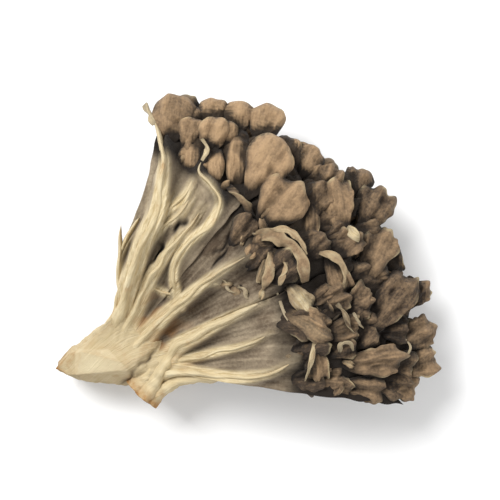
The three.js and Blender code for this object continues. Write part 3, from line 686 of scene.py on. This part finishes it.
def add_sheet(shells, form, tier_name, sector, number, seed):
    """A frond's sheet: radius and angle run over a grid, the height follows the sheet's
    formula, small radial furrows, soft noise and the ribs' fillets are added to it, and
    the slits are taken off. Beside the next frond each sheet laps a little over it."""
    tier = TIERS[tier_name]
    rows, columns = SHEET_GRIDS[tier_name]
    u = np.linspace(-1, 1, columns)[None, :]
    share = np.linspace(0, 1, rows)[:, None] ** 0.9
    middle, range_half = (sector[0] + sector[1]) / 2, (sector[1] - sector[0]) / 2
    frayed = 1 - 0.012 * (1 + swell(share * 60, 0 * share, 6, seed + 7)) * np.abs(u) ** 6
    inner_side = u if number == 0 else -u if number == 2 else np.abs(u)
    lap = (1.5 if tier_name == "top" else 0.5) + 1.8 * (1 - np.sqrt(share))
    lap = lap * smooth(inner_side, 0.5, 1) * np.sign(u)
    if tier_name == "top" and number == 2:
        lap = lap + 2.6 * smooth(u, 0.7, 1) * (1 - smooth(share, 0.35, 0.5))
    angle = middle + (range_half * u + lap) * (0.9 + 0.1 * np.sqrt(share)) * frayed
    if tier_name == "top" and number == 2:
        angle = angle - 5 * smooth(share, 0.35, 0.62) * smooth(u, 0.2, 1)
    if tier_name == "middle" and number == 2:
        angle = angle + 5 * np.exp(-((share - 0.4) / 0.16) ** 2) * smooth(u, 0.4, 1)
    scallop = 1 + 0.03 * np.cos(np.radians(40 * angle)) * np.linspace(0, 1, rows)[:, None]
    radius = tier["start"] + (rim_radius(form, angle) * tier["reach"] * scallop - tier["start"]) * share
    x = radius * np.cos(np.radians(angle))
    y = radius * np.sin(np.radians(angle))
    z = sheet_height(form, tier, radius, angle)
    rise, close = nearest_ribs(tier_name, x, y)
    bend = 0.5 * swell(radius, 0.35 * angle, 24, seed)
    furrow = np.sin(np.radians(71 * angle) + 2 * bend) * 0.6
    furrow = furrow + np.sin(np.radians(163 * angle) + 3 * bend + 1) * 0.4
    depth = 0.45 + 0.55 * np.abs(swell(radius * 0.3, angle, 4, seed + 4))
    furrow = furrow * smooth(radius, 9, 20) * (1 - close) * depth
    z = z + FURROW_DEPTH * furrow + 0.3 * swell(x, y, 9, seed + 1) * (1 - close)
    if number == 1:
        z = z - 1.1 * smooth(np.abs(u), 0.82, 1) * smooth(radius, 12, 20)
    half = tier["thickness"] / 2
    slit = line_depth(x, y, SLITS, seed + 9) if tier_name == "top" else 0 * x
    over = np.maximum(0, rise) if tier_name != "lower" else 0
    over = over * (1 - slit) - SLIT_DEPTH * slit
    under = np.minimum(0, rise)
    top = np.stack([x, y, z + half + over], axis=-1)
    bottom = np.stack([x, y, np.maximum(z - half + under, SHEET_GROUND)], axis=-1)
    uv = np.stack([np.radians(angle) * GRAIN_RADIUS, radius], axis=-1)
    pale = (0.44, 0.26, 0.6)[number] + 0.2 * swell(x, y, 10, seed + 2)
    patch = 0.6 * np.exp(-((x - 15) / 7) ** 2 - ((y - 36) / 6) ** 2) * (0.6 + 0.5 * furrow)
    patch = patch * (number == 2)
    # Painted shade: towards near black where the sheet runs under the caps and in the slits; darker in the
    # furrows and lighter on their ridges by the tone
    under_cap_shade = smooth(radius + 2.5 * swell(x, y, 11, seed + 8), *((45, 53) if number == 2 else (38, 48)))
    shade = np.clip(0.1 - 0.24 * furrow, 0, 1) * (1 - close) * 0.5 * (1 - under_cap_shade)
    stain = 0.75 * np.exp(-((radius - 13) / 7) ** 2) * (1 - 0.6 * close)
    shells.add_blade(top, bottom, uv, {
        "flesh": np.clip(close + patch, 0, 1) * (1 - slit),
        "tone": np.clip(pale + 0.14 * furrow, 0, 1),
        "deep": shade + np.maximum(under_cap_shade, 0.95 * slit),
        "stain": stain * np.clip(0.5 + swell(x, y, 5, STAIN_SEED), 0, 1),
    }, {
        "flesh": 0.15 + (0.6 * close if tier_name == "lower" else 0 * close),
        "under": 0.8,
        "tone": np.clip(0.5 + 0.2 * furrow, 0, 1),
        # Painted shade on the underside
        "deep": 0.1,
    })


def shade_hollows(fronds):
    """Paints shade into what lies low among higher parts. The highest point in each cell of a
    plan grid gives a relief, a bell-shaped mean smooths it, and a place gets more painted
    shade with its depth below the mean. Sheets, whose tone is below 1, take a quarter of it,
    and undersides little or nothing."""
    cell, spread = 0.8, 1.3
    places = np.concatenate([place for shells in fronds for place in shells.places])
    low = places.min(0)[:2] - cell
    size = ((places.max(0)[:2] - low) / cell).astype(int) + 3
    relief = np.zeros(size)
    spots = ((places[:, :2] - low) / cell).astype(int)
    np.maximum.at(relief, (spots[:, 0], spots[:, 1]), places[:, 2])
    for axis in (0, 1):
        relief = np.maximum(relief, np.maximum(np.roll(relief, 1, axis), np.roll(relief, -1, axis)))
    for axis in (0, 1):
        n = np.arange(size[axis])
        weight = np.exp(-((n[:, None] - n) * cell / spread) ** 2 / 2)
        weight /= weight.sum(1, keepdims=True)
        relief = np.moveaxis(np.tensordot(weight, relief, (1, axis)), 0, axis)
    for shells in fronds:
        for k, place in enumerate(shells.places):
            spot = ((place[:, :2] - low) / cell).astype(int)
            depth = relief[spot[:, 0], spot[:, 1]] - place[:, 2]
            upper = (1 - shells.tints["under"][k]) * np.where(shells.tints["tone"][k] < 1, 0.25, 1)
            darker = shells.tints["deep"][k] + 0.94 * smooth(depth, 0.3, 2.7) * upper
            shells.tints["deep"][k] = np.clip(darker, 0, 1)


def draws_from(seed):
    """Repeatable draws between 0 and 1: the state's share of its range."""
    state = seed
    while True:
        state = (state * DRAW_FACTOR + DRAW_STEP) % DRAW_RANGE
        yield state / DRAW_RANGE


def lobes_of(form, tier_name, frond, sector, draw):
    """The lobes of one frond: on the top tier the listed caps whose roots it holds, and on
    every tier its staggered rows, each lobe a little different."""
    tier = TIERS[tier_name]
    low, high = sector
    lobes = []
    for root, tip, width, pitch, taper, light in CAPS if tier_name == "top" else []:
        if low - 1 <= polar(*root)[1] <= high + 1:
            roll = 22 * (next(draw) - 0.5)
            lobes.append([root, tip, width, pitch, roll, 2 * math.pi * next(draw), taper, light])
    for number, row in enumerate(tier["rows"]):
        step = (high - low) / row["count"]
        for i in range(row["count"] if frond <= row["last"] else 0):
            angle = low + step * (i + (0.62 if number % 2 else 0.38)) + step * 0.2 * (next(draw) - 0.5)
            radius = rim_radius(form, angle) * (row["at"] + 0.04 * (next(draw) - 0.5))
            size = 0.82 + 0.36 * next(draw)
            facing = math.radians(angle + 30 * (next(draw) - 0.5))
            root, tip = plan_line(radius, math.radians(angle), row["length"] * size, facing)
            width = row["width"] * (0.85 + 0.3 * next(draw)) * size
            pitch = (row["pitch"] + 12 * (next(draw) - 0.5), row["curl"] + 16 * (next(draw) - 0.5))
            roll = 20 * (next(draw) - 0.5)
            phase = 2 * math.pi * next(draw)
            light = (-0.5, -0.15)[number] if tier_name == "top" else 0
            if tier_name != "top" or angle < 75:
                lobes.append([root, tip, width, pitch, roll, phase, 0.2, light])
    return lobes


def plates_of(form, number):
    """Darker plates that lie under the caps and show in their gaps: three staggered rows at
    even angles, with even draws for each one's place, size, turn and tone."""
    rng = np.random.default_rng(form.seed + 50 + number)
    low, high = TIERS["top"]["sectors"][number]
    plates = []
    for row in range(3 if number < 2 else 0):
        for i in range(5):
            angle = low + 4 + (high - low - 4) * (i + 0.2 + 0.6 * (row % 2) + rng.uniform(-0.2, 0.2)) / 5
            radius = rim_radius(form, angle) * (0.655 + 0.045 * number + 0.09 * row)
            turn = math.radians(angle + rng.uniform(-25, 40))
            length = rng.uniform(7, 9)
            root, tip = plan_line(radius, math.radians(angle), length, turn)
            pitch = (rng.uniform(14, 34) - 6 * row, rng.uniform(-40, -16))
            shape = (rng.uniform(-0.3, 0.6), rng.uniform(-0.2, 0.08))
            width = length * rng.uniform(0.66, 0.9)
            plates.append((root, tip, width, pitch, rng.uniform(-20, 20), turn, *shape))
    return plates


def crumbs_of(form, number):
    """Small dried flakes strewn over the inner edge of the caps, each with its share of
    cream: places, sizes, turns and colours come from even draws in the frond's sector."""
    rng = np.random.default_rng(form.seed + number)
    low, high = TIERS["top"]["sectors"][number]
    crumbs = []
    for _ in range((24, 20, 5)[number]):
        angle = math.radians(rng.uniform(low + 3, min(high, 44)) if number < 2 else rng.uniform(56, 72))
        radius = rng.uniform(44 - 3 * number, 56) if number < 2 else rng.uniform(46, 54)
        length, turn = rng.uniform(2, 5), rng.uniform(0, 2 * math.pi)
        root, tip = plan_line(radius, angle, length, turn)
        pitch = (rng.uniform(46, 74), rng.uniform(-40, 0))
        shape = (rng.uniform(-0.8, 0.9), rng.uniform(-0.1, 0.35))
        crumb = (root, tip, length * rng.uniform(0.4, 0.9), pitch, rng.uniform(-30, 30), turn, *shape)
        crumbs.append((crumb, rng.uniform(0, 0.9) ** 3))
    return crumbs


def add_lobe(shells, form, tier_name, lobe, seed, count, cream=0.0):
    """A cap lobe: a rounded blade on a middle line whose pitch turns evenly from root to
    tip. A square grid is drawn in at its corners, and four sine waves and the sides of a
    polygon make its edge uneven. Sides droop, sine pleats and fine rays fan out from the
    root, a bell-shaped crease runs along the middle, the margin is waved and turned down,
    and soft noise dents the blade. The thickness falls towards the margin. The torn share
    is 0 at the fan's upper side and 1 at its lower right, where caps are ragged and dark."""
    root, tip, width, pitch, roll, phase, taper, light = lobe
    rng = np.random.default_rng(seed)
    a, b, c, d = rng.uniform(0, 2 * np.pi, 4)
    p = np.linspace(-1, 1, count)[None, :]
    q = np.linspace(-1, 1, count)[:, None]
    torn = float(smooth(root[0] - 0.6 * root[1], -5, 38)) if tier_name == "top" else 0.8
    rough = 0.55 + 0.65 * torn
    margin = np.clip((np.abs(p) ** 5 + np.abs(q) ** 5) ** 0.2, 0, 1) * smooth(q, -0.9, -0.2)
    u = p * np.sqrt(1 - 0.46 * q ** 2)
    w = q * np.sqrt(1 - 0.46 * p ** 2)
    around = np.arctan2(u, w)
    uneven = 0.05 * np.sin(2 * around + a) + 0.05 * np.sin(3 * around + b) + 0.022 * np.sin(8 * around + c)
    uneven = uneven + 0.03 * torn * np.sin(12 * around + 1.6 * np.sin(3 * around + a) + b)
    sides = rng.integers(4, 7)
    part = 2 * np.pi / sides
    corner = (np.cos(part / 2) / np.cos(np.mod(around - d, part) - part / 2)) ** 0.8
    uneven = (0.95 + rough * uneven * smooth(q, -1, 0)) * (1 + (0.3 + 0.28 * torn) * (corner - 0.93))
    u = u * uneven
    v = (1 + w * uneven) / 2
    pleat = np.sin(rng.uniform(5, 9) * u * (1.25 - 0.35 * v) + 1.3 * v + d) * smooth(v, 0.1, 0.9)
    v = v * (1 + 0.035 * rough * pleat * v ** 3)
    start = math.radians(pitch[0])
    bend = math.radians(pitch[1] - pitch[0])
    forward = np.array([tip[0] - root[0], tip[1] - root[1], 0.0])
    length = np.linalg.norm(forward) * bend / (math.sin(start + bend) - math.sin(start))
    forward /= np.linalg.norm(forward)
    upright = np.array([0, 0, 1.0])
    roll = math.radians(roll)
    across = np.array([-forward[1], forward[0], 0]) * math.cos(roll) + upright * math.sin(roll)
    half = width / 2 * (0.34 + 0.76 * smooth(v, -0.15, 0.85))
    root_loss = 0.42 * max(0, taper) * (1 - smooth(v, 0, 0.75))
    half = half * (1 - root_loss - 0.5 * max(0, -taper) * smooth(v, 0.3, 1.1))
    turn = start + bend * v
    reach = length * (np.sin(turn) - math.sin(start)) / bend
    lift = length * (math.cos(start) - np.cos(turn)) / bend
    x = half * u
    y = length * v
    droop = 0.16 * width * u ** 2 * (0.3 + 0.7 * v)
    wave = 0.07 * width * np.sin(1.5 * np.pi * u + phase) * v ** 2
    ruffle = form.ruffle * rough * margin ** 4 * np.sin(rng.uniform(2.5, 5) * around + c)
    turned = 0.05 * smooth(margin, 0.5, 1) + 0.075 * smooth(margin, 0.8, 1) ** 2
    curl = width * (1.15 - 0.6 * torn) * turned
    fold = np.exp(-((u - 0.35 * math.sin(d)) / 0.22) ** 2) * smooth(v, 0, 0.3) * (1 - smooth(v, 0.55, 0.95))
    crease = 0.075 * width * rough * fold
    dents = swell(x, y, 3.1, seed + 1)
    broad = swell(x, y, 6.5, seed + 6)
    wrinkles = 1 - np.abs(swell(1.4 * x, 0.8 * y, 4.4, seed + 3)) * 1.6
    body = -droop + wave + ruffle - curl - crease + 0.045 * width * rough * pleat
    rays = np.sin(21 * u * (1.2 - 0.3 * v) + 1.5 * broad) * smooth(v, 0.15, 0.6)
    rays = rays * (1 - smooth(margin, 0.9, 1))
    relief = smooth(v, 0, 0.2) * (0.16 * dents + 0.26 * broad + form.wrinkle * wrinkles)
    body = body + relief + (0.045 + 0.05 * torn) * rays
    thin = form.lobe_thickness / 2 * (1 - 0.2 * v) * (1 - (0.45 + 0.2 * torn) * smooth(margin, 0.7, 1))
    foot = sheet_height(form, TIERS[tier_name], *polar(*root)) - ROOT_SINK
    spine = np.array([root[0], root[1], foot]) + reach[..., None] * forward
    centre = spine + x[..., None] * across + (lift + body)[..., None] * upright
    normal = np.cos(turn)[..., None] * upright - np.sin(turn)[..., None] * forward
    top = centre + thin[..., None] * normal
    bottom = centre - thin[..., None] * normal
    for face in (top, bottom):
        face[..., 2] = np.maximum(face[..., 2], GROUND)
    uv = np.stack([x, y], axis=-1)
    edge = smooth(margin, 0.9 - 0.06 * torn, 1.0) * np.clip(0.25 + 0.9 * swell(x, y, 6, seed + 5), 0, 1)
    tone = 0.98 - 0.68 * torn + rng.uniform(-0.08, 0.08)
    # Lighter where the dents, swells, pleats and rays rise and darker where they dip: painted light and
    # shade on the relief
    tone = tone + 0.05 * dents + 0.05 * broad + 0.07 * pleat + (0.03 + 0.04 * torn) * rays
    tone = 1.0 + np.clip(tone + light, 0, 1)
    # Painted shade: darker towards the root, where the lobe runs under others, and more on the middle and
    # lower tiers
    deep = 0.9 * (1 - smooth(v, 0.0, 0.45)) + (0 if tier_name == "top" else 0.3)
    bare = cream * (0.3 + 1.1 * np.exp(-((v - 0.6) / 0.3) ** 2 - (u / 0.5) ** 2))
    shells.add_blade(top, bottom, uv, {
        "flesh": np.clip(bare * (1 + 0.2 * dents), 0, 1),
        "margin": edge * rng.uniform(0.1 + 0.3 * torn, 0.95),
        "tone": tone,
        "deep": deep * (1 - cream),
    }, {
        "under": 1.0,
        "margin": edge * 0.5,
        "tone": tone,
        # Painted shade on the underside
        "deep": 0.1,
    })


def add_curl(shells, form, curl, seed):
    """A small dried strip: a flat oval carried along a curve above the sheet, which turns
    about the curve on its way and swells in the middle."""
    _, path, widths, twist, cream, tone = curl
    places, tangents, length = curve_through(path, CURL_RINGS)
    share = np.linspace(0, 1, CURL_RINGS)
    places[:, 2] += sheet_height(form, TIERS["top"], *polar(places[:, 0], places[:, 1]))
    level = np.cross(tangents, [0, 0, 1.0])
    level /= np.linalg.norm(level, axis=1)[:, None]
    upper = np.cross(level, tangents)
    half = (widths[0] + (widths[1] - widths[0]) * share) / 2
    half = half * (0.25 + 0.75 * np.sin(np.pi * (0.08 + 0.84 * share)) ** 0.6)
    half = half * (1 + 0.2 * swell(share * length, 0 * share, 1.6 + 1.6 * widths[0], seed))
    thick = np.minimum(0.42, half * 0.5)
    turn = np.linspace(0, 2 * np.pi, CURL_SIDES + 1)[:-1]
    spin = 2 * np.pi * twist * share + 0.6 * swell(share * length, 0 * share, 5, seed + 1)
    flat = half[:, None] * np.cos(turn)
    deep = thick[:, None] * np.sin(turn) + 0.26 * half[:, None] * np.cos(turn) ** 2
    sideways = flat * np.cos(spin)[:, None] - deep * np.sin(spin)[:, None]
    upwards = flat * np.sin(spin)[:, None] + deep * np.cos(spin)[:, None]
    rings = places[:, None, :] + sideways[..., None] * level[:, None, :]
    rings = rings + upwards[..., None] * upper[:, None, :]
    run = (share * length)[:, None]
    uv = np.stack(np.broadcast_arrays(turn[None, :] * half[:, None], run), axis=-1)
    edge = np.abs(np.cos(turn))[None, :] ** 6
    shells.add_loft(rings, uv, {
        "flesh": np.clip(cream + 0.2 * swell(run, 3 * turn[None, :], 4, seed + 2), 0, 1),
        "margin": 0.5 * edge + 0 * run,
        "tone": tone,
        # Painted shade towards both ends of the strip, where it meets the sheet
        "deep": 0.35 * (1 - np.sin(np.pi * share))[:, None] + 0 * edge,
    })


def put(nodes, kind, **values):
    """Adds a shader node. Named values are its properties, or its sockets by name."""
    node = nodes.new(kind)
    for name, value in values.items():
        if hasattr(node, name):
            setattr(node, name, value)
        else:
            node.inputs[name.replace("_", " ")].default_value = value
    return node


class Finish:
    """A procedural material with short calls for its nodes."""

    def __init__(self, name):
        self.material = bpy.data.materials.new(name)
        self.material.use_nodes = True
        self.nodes = self.material.node_tree.nodes
        self.links = self.material.node_tree.links
        self.shader = self.nodes["Principled BSDF"]

    def tint(self, name):
        """A value that the mesh carries at each place."""
        return put(self.nodes, "ShaderNodeAttribute", attribute_name=name).outputs["Fac"]

    def noise(self, scale, detail=4.0, stretch=None, along=False):
        """Noise over the object's place, or over the grain's UVs, with a stretch."""
        coordinates = put(self.nodes, "ShaderNodeTexCoord")
        mapping = put(self.nodes, "ShaderNodeMapping")
        mapping.inputs["Scale"].default_value = stretch or (1, 1, 1)
        self.links.new(coordinates.outputs["UV" if along else "Object"], mapping.inputs["Vector"])
        texture = put(self.nodes, "ShaderNodeTexNoise", Scale=scale, Detail=detail, Roughness=0.6)
        self.links.new(mapping.outputs["Vector"], texture.inputs["Vector"])
        return texture.outputs["Fac"]

    def product(self, first, second, third=0.0):
        """The first times the second, plus the third: each a socket or a number."""
        node = put(self.nodes, "ShaderNodeMath", operation="MULTIPLY_ADD")
        for socket, value in zip(node.inputs, (first, second, third)):
            if isinstance(value, (int, float)):
                socket.default_value = value
            else:
                self.links.new(value, socket)
        return node.outputs[0]

    def span(self, value, low, high, to_low=0.0, to_high=1.0):
        """A value moved from one range to another, and kept in it."""
        node = put(self.nodes, "ShaderNodeMapRange", clamp=True,
                   From_Min=low, From_Max=high, To_Min=to_low, To_Max=to_high)
        self.links.new(value, node.inputs["Value"])
        return node.outputs["Result"]

    def blend(self, factor, first, second):
        """A mix of two colours, each a socket or three shares."""
        node = put(self.nodes, "ShaderNodeMix", data_type="RGBA", blend_type="MIX", clamp_factor=True)
        sockets = [node.inputs[k] for k in (0, 6, 7)]  # factor and the two colours
        for socket, value in zip(sockets, (factor, first, second)):
            if isinstance(value, (int, float)):
                socket.default_value = value
            elif isinstance(value, bpy.types.NodeSocket):
                self.links.new(value, socket)
            else:
                socket.default_value = (*value, 1)
        return node.outputs[2]

    def surface(self, colour, height, distance, rough_low, rough_high):
        """Ties the colour, a bump and a roughness to the shader."""
        self.links.new(colour, self.shader.inputs["Base Color"])
        bump = put(self.nodes, "ShaderNodeBump", Strength=0.8, Distance=distance)
        self.links.new(height, bump.inputs["Height"])
        self.links.new(bump.outputs["Normal"], self.shader.inputs["Normal"])
        rough = self.span(self.noise(900), 0.3, 0.7, rough_low, rough_high)
        self.links.new(rough, self.shader.inputs["Roughness"])
        self.shader.inputs["Specular IOR Level"].default_value = 0.25
        return self.material


def flesh_finish(colours):
    """Dry cream flesh: fibres along the grain, pale and darker patches, grey towards the ribs'
    ends and feet, and ochre stains at the cuts. The upper knife face gets a painted
    highlight, and the deep tint paints shade."""
    finish = Finish("maitake_flesh")
    patches = finish.span(finish.noise(260, 3), 0.35, 0.7)
    fibres = finish.span(finish.noise(1.0, 5, (2.6, 0.16, 1), along=True), 0.35, 0.68)
    fine = finish.noise(3.2, 4, (2.2, 0.3, 1), along=True)
    colour = finish.blend(finish.product(fibres, 0.55), colours.flesh, colours.flesh_shade)
    colour = finish.blend(finish.product(patches, 0.35), colour, colours.flesh_shade)
    stains = finish.span(finish.noise(190, 4), 0.56, 0.74, 0, 0.6)
    colour = finish.blend(stains, colour, colours.ochre)
    # Paler by the tone: the painted highlight on the butt's upper knife face, and pale streaks on the ribs
    light = finish.span(finish.tint("tone"), 0.5, 1, 0, 0.5)
    colour = finish.blend(light, colour, colours.pale_cream_and_highlight)
    grey = finish.span(finish.tint("flesh"), 0.2, 1, 1, 0)
    colour = finish.blend(grey, colour, colours.web_light)
    cut = finish.product(finish.tint("margin"), finish.span(finish.noise(700, 3), 0.3, 0.6, 0.3, 1))
    colour = finish.blend(cut, colour, colours.ochre)
    # Painted shade by the deep tint: at the ribs' feet, towards the butt's bottom and in its crease
    colour = finish.blend(finish.tint("deep"), colour, colours.dark_web_and_shade)
    height = finish.product(fibres, 0.6, third=finish.product(fine, 0.4))
    return finish.surface(colour, height, 0.00035, 0.7, 0.95)


def frond_finish(name, colours, tier_shade):
    """Dry skin of a frond: sheet or lobe by the tone, which passes 1 on a lobe, with fibres
    along the grain, mottles, cream near the ribs, pale margins and a pored underside.
    The deep tint and the tier's own shade paint shade towards near black."""
    finish = Finish(name)
    tone = finish.tint("tone")
    mottle = finish.span(finish.noise(1500, 6), 0.3, 0.7, -0.26, 0.26)
    fibres = finish.noise(1.0, 4, (2.4, 0.3, 1), along=True)
    streak = finish.span(fibres, 0.3, 0.7, -0.17, 0.17)
    dimples = finish.noise(720, 4)
    pitted = finish.span(dimples, 0.3, 0.7, -0.14, 0.14)
    uneven = finish.product(mottle, 1.0, third=finish.product(streak, 1.0, third=pitted))
    sheet_tone = finish.product(uneven, 0.65, third=finish.span(tone, 0, 1))
    web = finish.blend(finish.span(sheet_tone, 0, 1), colours.dark_web_and_shade, colours.web_light)
    cap_tone = finish.product(uneven, 0.8, third=finish.span(tone, 1, 2))
    cap = finish.blend(finish.span(cap_tone, 0, 1), colours.cap_dark, colours.cap_light)
    colour = finish.blend(finish.span(tone, 0.98, 1.0), web, cap)
    cream = finish.blend(finish.span(fibres, 0.4, 0.7), colours.flesh, colours.flesh_shade)
    colour = finish.blend(finish.tint("flesh"), colour, cream)
    colour = finish.blend(finish.tint("stain"), colour, colours.ochre)
    pores = finish.span(finish.noise(2600, 2), 0.4, 0.62)
    below = finish.blend(finish.product(pores, 0.55), colours.pores, colours.dark_web_and_shade)
    colour = finish.blend(finish.tint("under"), colour, below)
    colour = finish.blend(finish.tint("margin"), colour, colours.margin)
    # Painted shade: the deep tint and the tier's own shade darken towards near black
    depth = finish.product(finish.tint("deep"), 0.98, third=tier_shade)
    colour = finish.blend(depth, colour, colours.shade_near_black)
    speck = finish.noise(2300, 6)
    coarse = finish.product(fibres, 0.5, third=finish.product(dimples, 0.9))
    height = finish.product(speck, 0.5, third=coarse)
    material = finish.surface(colour, height, 0.0006, 0.78, 0.98)
    finish.shader.inputs["Sheen Weight"].default_value = 0.05
    finish.shader.inputs["Sheen Roughness"].default_value = 0.6
    return material


def add_trimmings(shells, form, number, seed):
    """What only a frond of the top tier carries: plates, fillers, flakes and strips."""
    low, high = TIERS["top"]["sectors"][number]
    for i, plate in enumerate(plates_of(form, number)):
        add_lobe(shells, form, "top", plate, seed + 3 * i + PLATE_SEED, PLATE_GRID)
    for i, (root, tip, width, pitch, cream) in enumerate(FILLERS):
        if low - 1 <= polar(*root)[1] < high + 1:
            lobe = (root, tip, width, pitch, 9 * (i % 3 - 1), i, 0, 0)
            add_lobe(shells, form, "top", lobe, seed + 7 * i + FILLER_SEED, FILLER_GRID, cream)
    for i, (crumb, cream) in enumerate(crumbs_of(form, number)):
        add_lobe(shells, form, "top", crumb, seed + 5 * i + CRUMB_SEED, CRUMB_GRID, cream)
    for i, curl in enumerate(CURLS):
        if curl[0] == number:
            add_curl(shells, form, curl, seed + i + CURL_SEED)


def make_tier(context, tier_name, slot, tier_shade):
    """The three fronds of a tier, each a sheet and its lobes in one object. The lobes of
    every tier are drawn in the same order, so a tier is the same when made alone."""
    settings = context.scene
    form = settings.maitake_form
    draw = draws_from(form.seed)
    material = frond_finish(f"maitake_{tier_name}_skin", settings.maitake_finish, tier_shade)
    fronds = []
    for name in TIERS:
        for number, sector in enumerate(TIERS[name]["sectors"]):
            lobes = lobes_of(form, name, number + 1, sector, draw)
            if name != tier_name:
                continue
            shells = Shells()
            seed = 100 * number + 1000 * list(TIERS).index(name)
            add_sheet(shells, form, name, sector, number, seed)
            for i, lobe in enumerate(lobes):
                add_lobe(shells, form, name, lobe, seed + 7 * i + CAP_SEED, CAP_GRID)
            if name == "top":
                add_trimmings(shells, form, number, seed)
            fronds.append(shells)
    shade_hollows(fronds)
    for number, shells in enumerate(fronds, 1):
        shells.make(f"{tier_name}_frond_skin_{number}", material, slot, f"{tier_name}_frond_{number}")


class MAITAKE_OT_stem(bpy.types.Operator):
    """Make the butt and all ribs of the stem"""

    bl_idname = "maitake.stem"
    bl_label = "Stem and ribs"

    def execute(self, context):
        shells = Shells()
        add_butt(shells, context.scene.maitake_form, BUTT_SEED)
        for i, rib in enumerate(RIBS):
            add_rib(shells, context.scene.maitake_form, rib, 9 * i + RIB_SEED)
        shells.make("stem_flesh", flesh_finish(context.scene.maitake_finish), "stem", "stem")
        return {"FINISHED"}


class MAITAKE_OT_top_fronds(bpy.types.Operator):
    """Make the three upper fronds with their sheets and cap lobes"""

    bl_idname = "maitake.top_fronds"
    bl_label = "Top fronds"

    def execute(self, context):
        make_tier(context, "top", "cap_top", 0.0)
        return {"FINISHED"}


class MAITAKE_OT_middle_fronds(bpy.types.Operator):
    """Make the three fronds of the middle tier"""

    bl_idname = "maitake.middle_fronds"
    bl_label = "Middle fronds"

    def execute(self, context):
        # 0.1 is painted shade over the whole middle tier
        make_tier(context, "middle", "cap_middle", 0.1)
        return {"FINISHED"}


class MAITAKE_OT_lower_fronds(bpy.types.Operator):
    """Make the three fronds that the piece lies on"""

    bl_idname = "maitake.lower_fronds"
    bl_label = "Lower fronds"

    def execute(self, context):
        # 0.05 is painted shade over the whole lower tier
        make_tier(context, "lower", "cap_lower", 0.05)
        return {"FINISHED"}


def area_light(name, place, size, power):
    """A square soft light that faces the middle of the piece."""
    data = bpy.data.lights.new(name, "AREA")
    data.size = size
    data.energy = power
    light = bpy.data.objects.new(name, data)
    light.location = place
    direction = np.array([0, 0, 0.012]) - np.array(place)
    light.rotation_euler = (
        math.acos(-direction[2] / np.linalg.norm(direction)), 0,
        math.atan2(direction[1], direction[0]) - math.pi / 2)
    bpy.context.scene.collection.objects.link(light)


class MAITAKE_OT_stage(bpy.types.Operator):
    """Make the floor, the lights and the camera that looks straight down"""

    bl_idname = "maitake.stage"
    bl_label = "Floor, light and camera"

    def execute(self, context):
        view = context.scene.maitake_view
        centre = np.array(CAD_BOX).mean(0)
        floor_mesh = bpy.data.meshes.new("floor")
        corners = [(-3, -3, 0), (3, -3, 0), (3, 3, 0), (-3, 3, 0)]  # in metres
        floor_mesh.from_pydata(corners, [], [(0, 1, 2, 3)])
        floor = bpy.data.objects.new("floor", floor_mesh)
        context.scene.collection.objects.link(floor)
        finish = Finish("pale_floor")
        finish.shader.inputs["Base Color"].default_value = (0.95, 0.95, 0.95, 1)
        finish.shader.inputs["Roughness"].default_value = 0.9
        floor_mesh.materials.append(finish.material)
        world = bpy.data.worlds.new("studio")
        world.use_nodes = True
        backdrop = world.node_tree.nodes["Background"]
        backdrop.inputs["Color"].default_value = (1, 1, 1, 1)
        backdrop.inputs["Strength"].default_value = view.sky
        context.scene.world = world
        area_light("key_light", (-0.28, 0.3, 0.5), 0.3, view.key)
        area_light("fill_light", (0.4, -0.2, 0.45), 0.45, view.fill)
        data = bpy.data.cameras.new("camera")
        data.lens = view.lens
        data.clip_start = 0.01
        distance = view.width * view.lens / data.sensor_width
        camera = bpy.data.objects.new("camera", data)
        camera.location = (centre[0], centre[1], centre[2] + distance)
        context.scene.collection.objects.link(camera)
        context.scene.camera = camera
        context.scene.view_settings.view_transform = "Standard"
        return {"FINISHED"}


class MAITAKE_PT_panel(bpy.types.Panel):
    """The sidebar panel that lists the pieces"""

    bl_idname = "MAITAKE_PT_panel"
    bl_label = "Dried maitake piece"
    bl_space_type = "VIEW_3D"
    bl_region_type = "UI"
    bl_category = "Maitake"

    def draw(self, context):
        for group in (context.scene.maitake_form, context.scene.maitake_finish, context.scene.maitake_view):
            box = self.layout.box()
            for name in group.bl_rna.properties.keys():
                if name not in {"rna_type", "name"}:
                    box.prop(group, name)
        for operator in OPERATORS:
            self.layout.operator(operator.bl_idname)


GROUPS = {"maitake_form": MaitakeForm, "maitake_finish": MaitakeFinish, "maitake_view": MaitakeView}
OPERATORS = (
    MAITAKE_OT_stem, MAITAKE_OT_top_fronds, MAITAKE_OT_middle_fronds, MAITAKE_OT_lower_fronds,
    MAITAKE_OT_stage)


def register():
    """Registers the settings, the operators and the panel."""
    for name, group in GROUPS.items():
        bpy.utils.register_class(group)
        setattr(bpy.types.Scene, name, bpy.props.PointerProperty(type=group))
    for kind in (*OPERATORS, MAITAKE_PT_panel):
        bpy.utils.register_class(kind)


def unregister():
    """Takes away what register added."""
    for kind in (MAITAKE_PT_panel, *reversed(OPERATORS)):
        bpy.utils.unregister_class(kind)
    for name, group in GROUPS.items():
        delattr(bpy.types.Scene, name)
        bpy.utils.unregister_class(group)


def main():
    register()
    bpy.ops.maitake.stem()
    bpy.ops.maitake.top_fronds()
    bpy.ops.maitake.middle_fronds()
    bpy.ops.maitake.lower_fronds()
    bpy.ops.maitake.stage()


if __name__ == "__main__":
    main()
